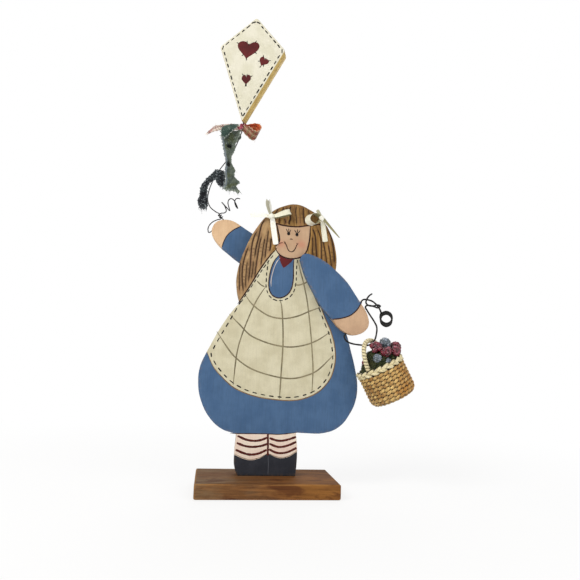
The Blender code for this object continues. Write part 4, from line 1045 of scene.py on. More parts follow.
# From the kite's bore down behind the rags, through the hand, round itself and into a loose curl
def kiteWireRoute():
    look = wireLook["kite"]
    y = look["depth"]
    left, top, knotTop, knotFoot = highAt([(-57.2, y, 218), (-47.6, y, 228.6), (-50.6, y, 234.2), (-48.2, y, 230.6)])
    along = (top - left).normalized()
    knotLine = (knotTop - knotFoot).normalized()
    down = [kiteFrame @ Vector((0, 0, 9.5 * mm)), kiteFrame @ Vector((0, 0, -1 * mm))]
    down += highAt([(-33.6, 14.5, 315), (-38, 14.6, 302), (-43, 14.6, 291), (-47.4, 14.6, 284.5), (-53, 14.6, 276),
        (-58.6, 14.7, 265), (-61.6, 14.8, 255), (-62.2, 15.1, 247), (-59.6, 15.5, 240.6), (-55, 15.9, 237)])
    into = [knotTop + knotLine * 1.2 * mm, knotTop, knotFoot, top + along * 1.4 * mm, top - along * 1 * mm]
    x, z = -57.2, 218
    out = [left - along * 1.6 * mm]
    out += highAt([(x - 3.3, y, z + 0.6), (x - 2.6, y, z + 4.6), (x + 0.6, y, z + 8.6), (x + 4.8, y, z + 11)])
    wound = windingPoints(knotFoot, knotTop, look["woundRadius"] * mm, look["wound"])
    curl = highAt([(-48.7, y - 2.4, 235), (-46.2, y - 1.8, 235.6), (-44.4, y - 1, 238), (-46.4, y - 1.6, 242.6),
        (-48.9, y - 2.6, 245.2), (-46.6, y - 4, 242.6), (-41.4, y - 4.4, 237.4), (-42.4, y - 2.8, 241.6),
        (-43.2, y - 1.6, 245.4), (-42.6, y - 1.2, 248.4), (-40.4, y - 1, 249.9), (-37.6, y - 0.8, 248.4),
        (-34.6, y - 0.6, 243), (-33.9, y + 0.4, 241.4), (-35.2, y + 1.3, 242.8), (-36.8, y + 1.6, 246.6),
        (-36.4, y + 1.8, 250), (-34.4, y + 1.8, 251.4), (-31.8, y + 1.8, 251)])
    return smoothLine([*down, *into, *out, *wound, *curl], 0.6 * mm)


# The basket's own frame: the middle of the rim, tilted as it hangs
basketFrame = Matrix.Translation(Vector((99, -9, 97.5 + feet)) * mm) @ Matrix.Rotation(radians(-27.7), 4, "Y")
handleTop = 25.7


# A coil, an arch, the slanting bore through the hand, under the basket's handle, a loop and the free end
def basketWireRoute():
    look = wireLook["basket"]
    y = look["depth"]
    low, high, centre = highAt([(68.2, y, 126.6), (81.4, y, 155), (106, y, 141.6)])
    along = (high - low).normalized()
    hook = basketFrame @ Vector((0, 0, (handleTop - 2.2 - 1 - 0.65) * mm))
    coil = []
    for turns in (i / 24 for i in range(round(look["coilTurns"] * 24) + 1)):
        angle = radians(look["coilStart"]) - tau * turns
        away = look["coilPitch"] * mm * (turns - look["coilTurns"] / 2)
        radius = look["coilRadius"] * mm + 0.1 * away
        coil.append(centre + Vector((radius * cos(angle) + 0.3 * away, away,
                                     radius * sin(angle) + 0.75 * away)))
    arch = highAt([(100.6, y - 1.1, 147.4), (99.4, y - 2.3, 149.4), (96.8, y - 2, 153.2), (92.6, y - 1.4, 156.8),
        (87.8, y - 0.6, 158.4), (84, y, 158.2)])
    through = [high + along * 0.6 * mm, high - along * 2 * mm, low + along * 2 * mm, low - along * 1.2 * mm]
    under = highAt([(66.9, y - 0.8, 123), (69, y - 2.2, 119.6), (74, y - 4, 117.4)])
    under += [hook + Vector((-6 * mm, 0.4 * mm, -0.3 * mm)), hook]
    rising = highAt([(93.4, -9.6, 121), (95.4, -9, 127), (96, -7.4, 133.6), (93.6, -4.8, 139.6), (90.6, y, 144.4),
        (88, y - 0.6, 148), (85.6, y - 2.2, 151.2), (87.4, y - 2.6, 152.9), (92, y - 3.4, 152.4), (96.4, y - 4.4, 151),
        (99.1, y - 3.9, 152.6), (97.6, y - 0.6, 154), (94.8, y + 0.7, 153.2), (90.4, y + 1.2, 153),
        (87.2, y + 1.6, 155.4), (87.8, y + 1.6, 159), (90, y + 1.2, 162.4), (92.8, y + 0.8, 164.4)])
    return smoothLine([*coil, *arch, *through, *under, *rising], 0.9 * mm)


def wireFinish():
    dark, dusty, rusty = wireLook["tones"]
    look = Finish("annealed_black_wire", 0.46, 0.4, 0.45)
    look.base(look.grain(900), 0.4, 0.7, dark, dusty)
    look.tint(rusty, look.grain(420, detail=5), 0.6, 0.72, 0.4)
    look.bump(look.grain(2600, detail=3), 0.4, 0.0001)
    return look.done()


blackWire = wireFinish()


# A wire bent by hand: never quite straight, never quite even
def makeWire(name, node, body, route, radius):
    shape = bmesh.new()
    shifts = (Vector((0, 0, 0)), Vector((7, 1, 3)), Vector((2, 9, 4)))
    bent = [p + Vector([drift(*p / (5 * mm) + shift) for shift in shifts]) * 0.08 * mm for p in route]

    def section(t):
        size = radius * (1 + 0.05 * sin(t * len(route) * 0.9)) * (0.82 if t < 0.002 or t > 0.998 else 1)
        return disc(size, 12)

    addTube(shape, bent, section)
    settle(meshPiece(name, shape, [blackWire], 50), body, node)


makeWire("kite_curled_wire", "kite_wire", "kite", kiteWireRoute(), wireLook["kite"]["radius"] * mm)
makeWire("basket_coiled_wire", "basket_wire", "basket_hanger", basketWireRoute(), wireLook["basket"]["radius"] * mm)
print("wires done")


# The basket, in millimetres in its own frame, with the middle of the rim as origin
basketLook = {
    "stakes": 26, "rows": 9, "rowPitch": 3.3, "weaveDepth": 0.62, "weaver": (1.22, 0.8), "stake": (1.7, 0.6),
    # gap is the tone of painted shade where strands dip; the straw's warm is a painted highlight on the bowl's right
    # side
    "straw": {"light": (234, 198, 124), "dark": (156, 108, 46), "gap": (26, 15, 6), "warm": (176, 118, 32)},
    "raffia": {"light": (238, 226, 184), "dark": (198, 176, 116), "gap": (44, 33, 13)},
    # The inner wall's two dark tones are painted shade
    "innerShade": ((52, 34, 16), (84, 58, 26)),
    "rimCrossings": 6, "rimStrand": (1.3, 0.85), "rimTones": (0.05, 0.4, 0.2),
    "handleTurn": 38, "handleReach": 16.9, "handleCore": 1.55, "wrapPitch": 2.75, "wrap": (2.2, 0.75), "strays": 9,
}


def strawFinish(name, light, dark, gap, warm=None):
    look = Finish(name, 0.58, 0.45, sheen=0.08)
    look.lay(look.mark("tone"), srgb(*light), srgb(*dark))
    fibre = look.cloud(look.put("UVMap").outputs["UV"])
    look.tint([c * 0.66 for c in light], fibre, 0.4, 0.68, 0.5)
    look.tint(dark, look.grain(260), 0.52, 0.7, 0.5)
    # A painted warm highlight over the right side of the bowl
    if warm:
        across = look.axes()["X"]
        glow = look.times(look.ramp(across, 0.1, 0.118), look.ramp(look.grain(120), 0.35, 0.6, 0.25, 0.8))
        look.over(glow, warm)
    # Painted shade in the gap tone where a strand dips
    look.over(look.mark("paintedShade"), gap)
    look.bump(fibre, 0.5, 0.0002)
    return look.done()


# Dark tones for the inner wall: painted shade inside the bowl
def innerShadeFinish():
    look = Finish("inner_wall_painted_shade", 0.8, 0.2)
    look.base(look.grain(800), 0.4, 0.6, *basketLook["innerShade"])
    return look.done()


straw = strawFinish("golden_straw", **basketLook["straw"])
paleStraw = strawFinish("cream_raffia", **basketLook["raffia"])
innerShade = innerShadeFinish()


# Strands keep a tone for each, a value of painted shade where they dip, and fibre coordinates along their length.
# Each is (points, section, outward direction, closed, tone, dip).
def strandPiece(name, strands, materials, smooth=70, grain=(0.25, 1.1)):
    shape = bmesh.new()
    tone = shape.verts.layers.float.new("tone")
    paintedShade = shape.verts.layers.float.new("paintedShade")
    uv = shape.loops.layers.uv.new("UVMap")
    for points, section, up, closed, shade, dip in strands:
        firstFace = len(shape.faces)
        rings = addTube(shape, points, section, up, closed=closed)
        length = 0
        places = {}
        for i, ring in enumerate(rings):
            if i:
                length += (Vector(points[i]) - Vector(points[i - 1])).length
            for k, vert in enumerate(ring):
                vert[tone] = shade(i / len(rings)) if callable(shade) else shade
                vert[paintedShade] = dip(i / len(rings), k / len(ring)) if dip else 0
                places[vert] = (length / mm * grain[0], k * grain[1])
        shape.faces.ensure_lookup_table()
        for face in shape.faces[firstFace:]:
            for loop in face.loops:
                loop[uv].uv = places[loop.vert]
    return finished(name, meshFrom(name, shape), materials, smooth)


# Radius and direction of the bowl's wall at a distance along its profile from the rim down, in millimetres
def wallAt(s):
    straight, corner = 21.8, 7
    if s < straight:
        return 21.4, -2.2 - s, 0
    angle = min((s - straight) / corner, pi / 2)
    if s < straight + corner * pi / 2:
        return 21.4 - corner * (1 - cos(angle)), -24 - corner * sin(angle), angle
    return 21.4 - corner - (s - straight - corner * pi / 2), -31, pi / 2


def wallPoint(radius, z, angle, down=0, lean=0):
    return polar(radius, angle, z + down) * mm, polar(cos(lean), angle, -sin(lean))


# One of two strands that weave in and out of the stakes along a row
def weaver(row, strand, rowShift):
    stakes = basketLook["stakes"]
    radius, z, lean = wallAt(1.9 + row * basketLook["rowPitch"])
    tones = [rng.uniform(0, 1) for _ in range(stakes)]
    points, outs = [], []
    for a in angles(stakes * 8):
        phase = a * stakes / 2 + pi * (strand + row)
        r = basketLook["weaveDepth"] * cos(phase) - 0.95 + 0.1 * drift(a * 3, row, strand)
        slide = -0.5 * sin(phase) + rowShift + 0.25 * drift(a * 2, row, 5 + strand)
        point, out = wallPoint(radius + r * cos(lean) - slide * sin(lean), z, a,
                               -r * sin(lean) - slide * cos(lean), lean)
        points.append(point)
        outs.append(out)

    # Painted shade where the strand dips behind a stake, and more on the lowest row
    def dip(t, k):
        swing = cos(tau * t * stakes / 2 + pi * (strand + row))
        return min(1, max(0, 0.5 - swing) * 1.35 + (0.3 if row == basketLook["rows"] - 1 else 0))

    wide, thick = basketLook["weaver"]
    return points, oval(wide * mm, thick * mm, 10), outs, True, lambda t: tones[int(t * stakes * 0.999)], dip


def makeBowl():
    strands = []
    stakes = basketLook["stakes"]
    for row in range(basketLook["rows"]):
        rowShift = rng.uniform(-0.12, 0.12)
        strands += [weaver(row, strand, rowShift) for strand in (0, 1)]
    wide, thick = basketLook["stake"]
    for k in range(stakes):
        spots = []
        for s in (0.2 + 31 * i / 15 for i in range(16)):
            radius, z, lean = wallAt(s)
            spots.append(wallPoint(radius - 1, z, tau * k / stakes, 0.7 * sin(lean), lean))
        points, outs = zip(*spots)
        strands.append((points, band(wide * mm, thick * mm), list(outs), False, rng.uniform(0.5, 1), None))
    for ring in range(4):
        points = [wallPoint(13.2 - ring * 3.4, -30.2 - 0.35 * cos(a * stakes / 2 + pi * ring), a)[0]
                  for a in angles(stakes * 6)]
        strands.append((points, band(3.1 * mm, 0.7 * mm), Vector((0, 0, -1)), True, rng.uniform(0.3, 0.8), None))
    bowl = strandPiece("basket_woven_bowl", strands, [straw])
    bowl.data.transform(basketFrame)
    return bowl


def ringOf(shape, radius, z, count=48):
    if radius < 0.01:
        return [shape.verts.new((0, 0, z * mm))]
    return [shape.verts.new(p) for p in around(count, radius * mm, z * mm)]


# A dark wall just inside the weave, standing in for the shade inside the bowl
def makeInnerShade():
    shape = bmesh.new()
    profile = [(0, -29.9), (13.6, -29.9)]
    for s in (32, 30, 27, 24, 21.8, 14, 7, 0.4):
        radius, z, lean = wallAt(s)
        profile.append((radius - 1.75, z + 0.9 * sin(lean)))
    inner = [(max(r - 0.5, 0), z + (0.5 if r < 16 else 0)) for r, z in reversed(profile)]
    joinRings(shape, [ringOf(shape, r, z) for r, z in profile + inner])
    shape.transform(basketFrame)
    return meshPiece("basket_inner_wall", shape, [innerShade], 50)


# Three raffia strands that cross each other round the rim, over a flat core
def makeRim():
    strands = []
    crossings = basketLook["rimCrossings"]
    wide, thick = basketLook["rimStrand"]
    for j in range(3):
        points, outs = [], []
        for a in angles(240):
            phase = crossings * a + tau * j / 3
            r = 20.8 + 1.05 * sin(2 * phase) + 0.12 * drift(a * 5, j, 0)
            z = 0.35 + 1.65 * sin(phase) + 0.2 * drift(a * 4, j, 3)
            points.append(polar(r, a, z) * mm)
            outs.append(polar(1, a, 0.3))

        # Painted shade where a strand passes under the others
        def dip(t, k, j=j):
            return min(1, max(0, -0.12 - sin(2 * (crossings * tau * t + tau * j / 3))) * 2)

        strands.append((points, oval(wide * mm, thick * mm, 12), outs, True, basketLook["rimTones"][j], dip))
    # The flat core is coloured dark: painted shade seen between the strands
    core = [p * mm for p in around(120, 20.3, 0.3)]
    strands.append((core, oval(1.7 * mm, 0.5 * mm, 8), around(120), True, 0.9, lambda t, k: 0.85))
    rim = strandPiece("basket_braided_rim", strands, [paleStraw])
    rim.data.transform(basketFrame)
    return rim


handleSpin = Matrix.Rotation(radians(basketLook["handleTurn"]), 3, "Z")


def handlePoints(step):
    reach = basketLook["handleReach"]
    points = [(-reach, -7), (-reach, -3.5)]
    for a in (pi * i / 24 for i in range(25)):
        points.append((reach * cos(pi - a), handleTop * sin(a)))
    points += [(reach, -3.5), (reach, -7)]
    return evenly([handleSpin @ Vector((x, 0, z)) for x, z in points], step)


# A hoop wrapped with a raffia band, with a few stray fibres
def makeHandle():
    core = basketLook["handleCore"] * mm
    # The hoop under the wraps is coloured dark: painted shade between the turns of the band
    strands = [([p * mm for p in handlePoints(1.2)], disc(core, 10), None, False, 0.9, lambda t, k: 0.85)]
    step = 0.16
    fine = handlePoints(step)
    normal = handleSpin @ Vector((0, 1, 0))
    wide, thick = basketLook["wrap"]
    points, outs = [], []
    for i, p in enumerate(fine):
        side = aheadAt(fine, i).cross(normal).normalized()
        angle = tau * (i * step) / basketLook["wrapPitch"]
        away = side * cos(angle) + normal * sin(angle)
        points.append((p + away * 1.72) * mm)
        outs.append(away)
    strands.append((points, band(wide * mm, thick * mm), outs, False, 0.1, None))
    for k in range(basketLook["strays"]):
        start = int((0.1 + 0.8 * k / 8) * (len(fine) - 40))
        p, away = fine[start], outs[start]
        ahead = (fine[start + 2] - fine[start]).normalized()
        stray = [(p + away * (2.1 + 0.45 * t) + ahead * (2.6 * t) + Vector((0, 0, 0.6 * sin(3 * t + k))) * t) * mm
                 for t in (0, 0.35, 0.7, 1)]
        strands.append((smoothLine(stray, 0.4 * mm), disc(0.13 * mm, 6), None, False, 0.6, None))
    handle = strandPiece("basket_wrapped_handle", strands, [paleStraw])
    handle.data.transform(basketFrame)
    return handle


# Place in the basket's frame, radius, and the smaller lobes that cling to it
berries = (
    ("berry_red_top", (3.2, -8, 18.2), 5, [((-3, -1, 2.4), 2.9), ((-3.4, -2.4, -1.6), 2.7), ((1.6, -3.4, -2.6), 2.6)]),
    ("berry_red_front", (7.4, -13.6, 11), 4.6, [((3, -1.4, 1.8), 2.4), ((-2.8, -2.2, 1.6), 2.3)]),
    ("berry_red_middle", (17.2, -8.8, 7.4), 4.8, [((-2.6, -2.4, -1.4), 2.3)]),
    ("berry_red_right", (21.5, 1.2, 9.4), 5.4, [((1.6, -3, 1.8), 2.6)]),
    ("berry_grey_top", (13.2, -3, 17.4), 5.2, [((-2.2, -2.6, 1.8), 2.7)]),
    ("berry_grey_front", (-2.2, -14.4, 9.6), 4, []),
    ("berry_grey_low", (5.2, -13.9, 2.6), 3.6, []),
    ("berry_red_back", (-7.6, 7.6, 7.6), 4.3, []),
    ("berry_grey_back", (-0.5, 14.5, 8), 4.8, [((-2, 2, 1.6), 2.4)]),
    ("berry_red_rear", (9.3, 16.6, 7.5), 4.6, [((2.2, 1.6, 2), 2.3)]))
berryLook = {
    # Berry tones: deep, light, a painted highlight, and painted shade between the druplets
    "red": ("crimson_berry_skin", (56, 8, 16), (126, 22, 47), (200, 108, 126), (16, 5, 6)),
    "grey": ("grey_blue_berry_skin", (74, 86, 92), (128, 140, 154), (206, 212, 224), (26, 32, 30)),
    "twig": ((92, 74, 46), (62, 50, 30)), "fineness": (5, 4), "stalk": 0.32,
}


def berryFinish(name, deep, light, pale, creviceShade):
    look = Finish(name, 0.3, 0.55, coat=0.35)
    cell = look.mark("cell")
    look.base(look.grain(260), 0.4, 0.62, deep, light)
    # Painted highlight on the tops of the druplets, and painted shade in the crevices between them
    paintedHighlight = look.ramp(look.grain(330, detail=5), 0.52, 0.64, 0, 0.7)
    look.over(look.times(paintedHighlight, look.ramp(cell, 0.6, 1)), pale)
    look.tint(creviceShade, cell, 0.62, 0.28)
    look.bump(look.grain(2600, detail=3), 0.3, 0.00012)
    return look.done()


berrySkin = {kind: berryFinish(*berryLook[kind]) for kind in ("red", "grey")}


# A ball of small rounded druplets, dimpled where the stalk is
def addPebbled(shape, spot, radius, seed, axis, fine):
    pick = random.Random(seed)
    count = int(16 + 3.2 * radius)
    seeds = []
    for i in range(count):
        y = 1 - 2 * (i + 0.5) / count
        a = i * 2.399963 + seed
        q = Vector((cos(a) * sqrt(1 - y * y), y, sin(a) * sqrt(1 - y * y)))
        seeds.append((q + Vector((pick.uniform(-1, 1), pick.uniform(-1, 1), pick.uniform(-1, 1))) * 0.13).normalized())
    layer = shape.verts.layers.float["cell"]
    verts = bmesh.ops.create_icosphere(shape, subdivisions=fine, radius=1)["verts"]
    angles = np.arccos(np.clip(np.array([v.co[:] for v in verts]) @ np.array([q[:] for q in seeds]).T, -1, 1))
    order = np.sort(angles, axis=1)
    for vert, b in zip(verts, np.clip((order[:, 1] - order[:, 0]) / 0.34, 0, 1)):
        q = vert.co.normalized()
        dome = sqrt(max(0, 1 - (1 - b) ** 2))
        size = radius * (0.76 + 0.24 * dome + 0.02 * noise.noise(q * 2.2 + Vector((seed, 0, 0))))
        if q.dot(axis) > 0.9:
            size -= radius * 0.14 * (q.dot(axis) - 0.9) / 0.1
        vert.co = (Vector(spot) + q * size) * mm
        vert[layer] = 0.25 + 0.75 * dome


def makeBerry(name, place, radius, lobes, seed):
    pick = random.Random(seed)
    axis = Vector((pick.uniform(-1, 1), pick.uniform(-1, 1), pick.uniform(-0.4, 1))).normalized()
    shape = bmesh.new()
    shape.verts.layers.float.new("cell")
    whole, small = berryLook["fineness"]
    addPebbled(shape, place, radius, seed, axis, whole)
    for number, (offset, size) in enumerate(lobes):
        addPebbled(shape, Vector(place) + Vector(offset), size, seed * 5 + number, Vector(offset).normalized(), small)
    spot = Vector(place) * mm
    line = [spot + axis * radius * f * mm + Vector((0, 0, 0.3 * f * f)) * mm for f in (0.72, 0.85, 0.98, 1.08)]
    shape.transform(basketFrame)
    kind = "red" if "red" in name else "grey"
    settle(meshPiece(name + "_pebbled", shape, [berrySkin[kind]], 180), "basket", name)
    stalk = bmesh.new()
    addTube(stalk, smoothLine(line, 0.3 * mm), disc(berryLook["stalk"] * mm, 7))
    stalk.transform(basketFrame)
    settle(meshPiece(name + "_stalk", stalk, [twig], 60), "basket")


twig = bareWood("dry_twig", *berryLook["twig"])
bowl, inside, rim, handle = makeBowl(), makeInnerShade(), makeRim(), makeHandle()
settle(bowl, "basket", "basket_bowl")
settle(inside, "basket", None)
settle(rim, "basket", "basket_rim")
settle(handle, "basket", "basket_handle")
for number, berry in enumerate(berries):
    makeBerry(*berry, number + 3)
print("basket and berries done")


# A crumbly mound of moss, and Geometry Nodes set tufts all over it
mossLook = {
    "mound": ((26, 32, 18), (52, 60, 32)), "tuft": ((46, 56, 28), (98, 104, 58)), "dry": (104, 98, 52),
    "reach": 17.4, "rise": 15, "density": 1.5e6, "tuftSize": 1.7, "seed": 6,
}


def mossFinish(name, deep, light):
    look = Finish(name, 0.9, 0.15, sheen=0.15)
    look.base(look.grain(420, detail=5), 0.36, 0.66, deep, light)
    look.tint(mossLook["dry"], look.grain(190, detail=3), 0.56, 0.7, 0.7)
    look.bump(look.grain(1900, detail=5), 0.7, 0.0004)
    return look.done()


mossDeep = mossFinish("moss_mound_green", *mossLook["mound"])
mossTuft = mossFinish("moss_tuft_green", *mossLook["tuft"])


def makeMound():
    shape = bmesh.new()
    reach, rise = mossLook["reach"], mossLook["rise"]
    rings = [ringOf(shape, 0, rise)]
    for i in range(1, 15):
        a = radians(90 - 90 * i / 14)
        ring = []
        for b in angles(48):
            lump = 1 + 0.05 * drift(cos(b) * 2.5, sin(b) * 2.5, i * 0.5)
            spot = (reach * cos(a) * cos(b), reach * cos(a) * sin(b), rise * sin(a))
            ring.append(shape.verts.new([c * lump * mm for c in spot]))
        rings.append(ring)
    joinRings(shape, rings + [ringOf(shape, reach, -6), ringOf(shape, reach, -13), ringOf(shape, 0, -13.5)])
    for vert in shape.verts:
        q = vert.co / mm
        vert.co += Vector((0, 0, 0.7)) * noise.fractal(q * 0.5, 0.8, 2, 3) * mm
        if q.z > 1:
            lowered = min(1, max(0, (-6 - (q.x * 0.92 + q.y * 0.2)) / 6))
            vert.co.z -= (q.z - 1) * 0.8 * lowered * mm
    shape.transform(basketFrame)
    return meshPiece("moss_mound", shape, [mossDeep], 180)


# Six short blades that bend outwards
def mossSprig():
    unit = bmesh.new()
    pick = random.Random(4)
    for blade in range(6):
        a = tau * blade / 6 + pick.uniform(-0.3, 0.3)
        out = polar(1, a)
        side = Vector((-out.y, out.x, 0))
        tall = pick.uniform(0.8, 1.2)
        rings = [[unit.verts.new(out * reach + Vector((0, 0, high * tall)) + way)
                for way in (side * w, out * w * 0.7, side * -w)]
            for reach, high, w in ((0.05, 0, 0.1), (0.22, 0.5, 0.09), (0.62, 0.85, 0.02))]
        joinRings(unit, rings)
        capEnds(unit, rings)
    return placed("moss_tuft", meshFrom("moss_tuft", unit))


# The open part of the mound, where no berry covers it
def mossHost(mound):
    host = placed("moss_host", mound.data.copy())
    shape = bmesh.new()
    shape.from_mesh(host.data)
    back = basketFrame.inverted()
    hidden = []
    for face in shape.faces:
        spot = back @ face.calc_center_median()
        covered = any((spot - Vector(place) * mm).length < (radius + 0.1) * mm for _, place, radius, _ in berries)
        if covered or spot.z < 0.2 * mm:
            hidden.append(face)
    bmesh.ops.delete(shape, geom=hidden, context="FACES")
    shape.to_mesh(host.data)
    shape.free()
    return host


def tuftsLayOut(tree, given):
    spread = addNode(tree, "GeometryNodeDistributePointsOnFaces", {
        "Mesh": given["Geometry"], "Density": given["Density"], "Seed": given["Seed"]})
    turn = varied(tree, given, (-0.5, -0.5, 0), (0.5, 0.5, 6.28)).outputs[0]
    spin = addNode(tree, "FunctionNodeRotateRotation", {"Rotation": spread.outputs["Rotation"], "Rotate By": turn},
                   rotation_space="LOCAL")
    grow = addNode(tree, "FunctionNodeRandomValue", {2: 0.6, 3: 1.35, "Seed": given["Seed"]}, data_type="FLOAT")
    size = addNode(tree, "ShaderNodeMath", {0: grow.outputs[1], 1: given["Size"]}, operation="MULTIPLY")
    return spread.outputs["Points"], spin.outputs[0], size.outputs[0]


mound = makeMound()
tufts = scattered("moss_sprigs", mossHost(mound), mossSprig(), {
    "Density": ("Float", mossLook["density"]), "Size": ("Float", mossLook["tuftSize"] * mm),
    "Seed": ("Int", mossLook["seed"])}, mossTuft, tuftsLayOut)
settle(mound, "basket", "basket_moss")
settle(tufts, "basket", None)
print("moss done")


# Torn cotton. Tones are base, drift and, for most, a third; bands are (0 along or 1 across, period, width, offset,
# colour, amount) in millimetres of cloth; flecks are where they begin and how strong they are.
clothLook = {
    "plaid_cotton": {
        "tones": ((150, 104, 78), (172, 138, 112), (120, 92, 70)), "fray": (226, 196, 170),
        "bands": ((0, 5.2, 1.6, 0.4, (126, 40, 34), 0.85), (1, 6, 1.8, 1, (112, 104, 66), 0.7), (0, 5.2, 0.3, 2.8,
            (232, 210, 176), 0.8))},
    "orange_plaid_cotton": {
        "tones": ((206, 92, 44), (222, 124, 74), (168, 56, 36)), "fray": (236, 196, 160),
        "bands": ((0, 5.2, 1.3, 1, (142, 34, 26), 0.6), (0, 5.2, 0.3, 2.8, (238, 196, 150), 0.6), (1, 6, 1.2, 1,
            (150, 96, 50), 0.5))},
    "faded_plaid_cotton": {
        "tones": ((236, 214, 196), (246, 234, 220), (226, 180, 170)), "fray": (136, 50, 56),
        "bands": ((0, 4.4, 0.6, 0.6, (176, 92, 94), 0.7), (1, 7, 0.8, 1, (150, 62, 70), 0.6))},
    "wine_plaid_cotton": {
        "tones": ((138, 32, 50), (196, 96, 114), (66, 12, 18)), "fray": (222, 168, 172),
        "bands": ((0, 2.6, 0.5, 0.3, (226, 170, 176), 0.6), (1, 2.8, 0.6, 0.2, (96, 20, 30), 0.7))},
    "grey_green_cotton": {
        "tones": ((78, 88, 80), (100, 110, 98), (84, 92, 64)), "fray": (176, 184, 172),
        # This band is a painted highlight along the strip's left edge
        "bands": ((0, 30, 3, 14.4, (140, 150, 168), 0.5),)},
    "deep_green_cotton": {"tones": ((58, 80, 72), (76, 96, 86), (46, 62, 56)), "fray": (206, 210, 202)},
    "navy_black_cotton": {"tones": ((18, 20, 26), (32, 36, 42), (46, 54, 56)), "fray": (148, 156, 160),
        "flecks": (0.55, 0.7)},
}


def stripes(look, place, period, width, offset):
    turned = look.maths("FRACT", look.times(look.maths("ADD", place, offset), 1 / period))
    away = look.maths("ABSOLUTE", look.maths("SUBTRACT", turned, 0.5))
    return look.ramp(away, width / period * 0.6, width / period * 0.4)


# Plain weave that follows the cloth's own coordinates
def clothFinish(name, tones, fray, bands=(), flecks=(0.6, 0.5)):
    look = Finish(name, 0.92, 0.12, sheen=0.2)
    uv = look.put("UVMap").outputs["UV"]
    split = look.put("SeparateXYZ", {"Vector": uv}).outputs
    look.base(look.grain(150), 0.4, 0.62, tones[0], tones[1])
    look.tint(tones[2], look.grain(105, detail=3, distortion=0.8), 0.5, 0.62, 0.9)
    for way, period, width, offset, tint, amount in bands:
        look.over(look.times(stripes(look, split[way], period, width, offset), amount), tint)
    for scale in ((3.2, 0.3, 1), (0.3, 3.2, 1)):
        thread = look.cloud(look.stretched(uv, scale), detail=2)
        look.tint([c * 0.55 for c in tones[0]], thread, 0.5, 0.7, 0.45)
    start, strength = flecks
    look.tint(fray, look.grain(700, detail=5), start, start + 0.08, strength)
    look.over(look.times(look.mark("fray"), look.ramp(look.grain(1100), 0.4, 0.58)), fray)
    # Painted shade in the rag's hollows
    look.over(look.mark("paintedShade"), (20, 24, 20))
    across, down = (look.maths("SINE", look.times(split[way], 12.5)) for way in (0, 1))
    look.bump(look.times(across, down), 0.5, 0.00016)
    look.bump(look.grain(1600), 0.5, 0.0003)
    return look.done()


cloths = {name.split("_cotton")[0]: clothFinish(name, **weave) for name, weave in clothLook.items()}
clothColumns = 30


# How much painted shade a place gets inside the hollows of a rag
def hollowAt(place, hollows):
    return max([0] + [1 - max(0, hypot((place.x - x) / wide, (place.z - z - feet) / tall) - 0.55) / 0.45
                        for x, z, wide, tall in hollows])


def tearNoise(spots, shares):
    return sum(share * drift(*spot) for spot, share in zip(spots, shares))


# Rows of vertices from the left to the right edge: pleated, torn along the edges and at the torn ends
def clothRows(shape, strip, seed, ragged, hollows):
    left, right, pleats, depth, tornEnds, _ = strip
    fray, paintedShade = (shape.verts.layers.float[key] for key in ("fray", "paintedShade"))
    left, right = smoothLine(fromFeet(left), 0.2), smoothLine(fromFeet(right), 0.2)
    stations = max(8, round(sum((b - a).length for a, b in zip(left, left[1:])) / 0.75))
    rows, length, before = [], 0, None
    for t in (i / stations for i in range(stations + 1)):
        onLeft, onRight = (round(t * (len(line) - 1)) for line in (left, right))
        a, b = left[onLeft], right[onRight]
        middle = (a + b) / 2
        length += (middle - before).length if before else 0
        before = middle
        ahead = (spanAt(left, onLeft, 4) + spanAt(right, onRight, 4)).normalized()
        out = (b - a).cross(ahead).normalized()
        deep = depth[0] + (depth[1] - depth[0]) * t
        row = []
        for s in (k / clothColumns for k in range(clothColumns + 1)):
            fold = sin(tau * pleats * s + 3 * t + seed) * 0.62
            fold += tearNoise(((s * 4, t * 7, seed), (s * 11, t * 20, seed + 9)), (0.5, 0.22))
            place = a.lerp(b, s) + out * (deep * fold)
            rim = max(0, abs(s - 0.5) * 2 - 0.86) / 0.14
            if rim:
                tear = tearNoise(((length * 0.55, seed, s * 2), (length * 1.9, seed + 4, s * 2)), (1, 0.6))
                place += (b - a).normalized() * (1 if s > 0.5 else -1) * tear * ragged * rim * 1.7
            end = 0
            for which, edge in ((0, t), (1, 1 - t)):
                if tornEnds[which] and edge < 0.06:
                    end = 1 - edge / 0.06
                    jag = tearNoise(((s * 7, seed + which, 2), (s * 19, seed + which, 5)), (1, 0.7))
                    place += ahead * (1 if which else -1) * jag * ragged * 2.6 * end
            # Places in a hollow are pushed back and get painted shade
            dark = hollowAt(place, hollows)
            vert = shape.verts.new((place + Vector((0, 2 * dark, 0))) * mm)
            vert[fray], vert[paintedShade] = max(rim, end), dark
            row.append((vert, (s * (b - a).length, length)))
        rows.append(row)
    return rows


# Threads pulled loose along the edges and the torn ends
def looseThreads(threads, rows, tornEnds, slot, pick):
    edges = [(row[0][0].co, row[1][0].co) for row in rows[::4]] + [(row[-1][0].co, row[-2][0].co) for row in rows[::4]]
    for torn, row, inner in zip(tornEnds, (rows[0], rows[-1]), (rows[1], rows[-2])):
        if torn:
            edges += [(row[k][0].co, inner[k][0].co) for k in range(0, clothColumns + 1, 2)] * 2
    for outer, inner in edges:
        if pick.random() < 0.55:
            away = (outer - inner).normalized()
            bend = Vector((pick.uniform(-1, 1), pick.uniform(-1, 1), pick.uniform(-1.4, 0.4))) * 0.6
            reach = pick.uniform(0.7, 2.4)
            start = outer - away * 0.5 * mm
            line = [start + (away * reach * f + bend * reach * f * f) * mm for f in (0, 0.4, 0.75, 1)]
            addTube(threads, smoothLine(line, 0.5 * mm), disc(0.09 * mm, 5), slot=slot)


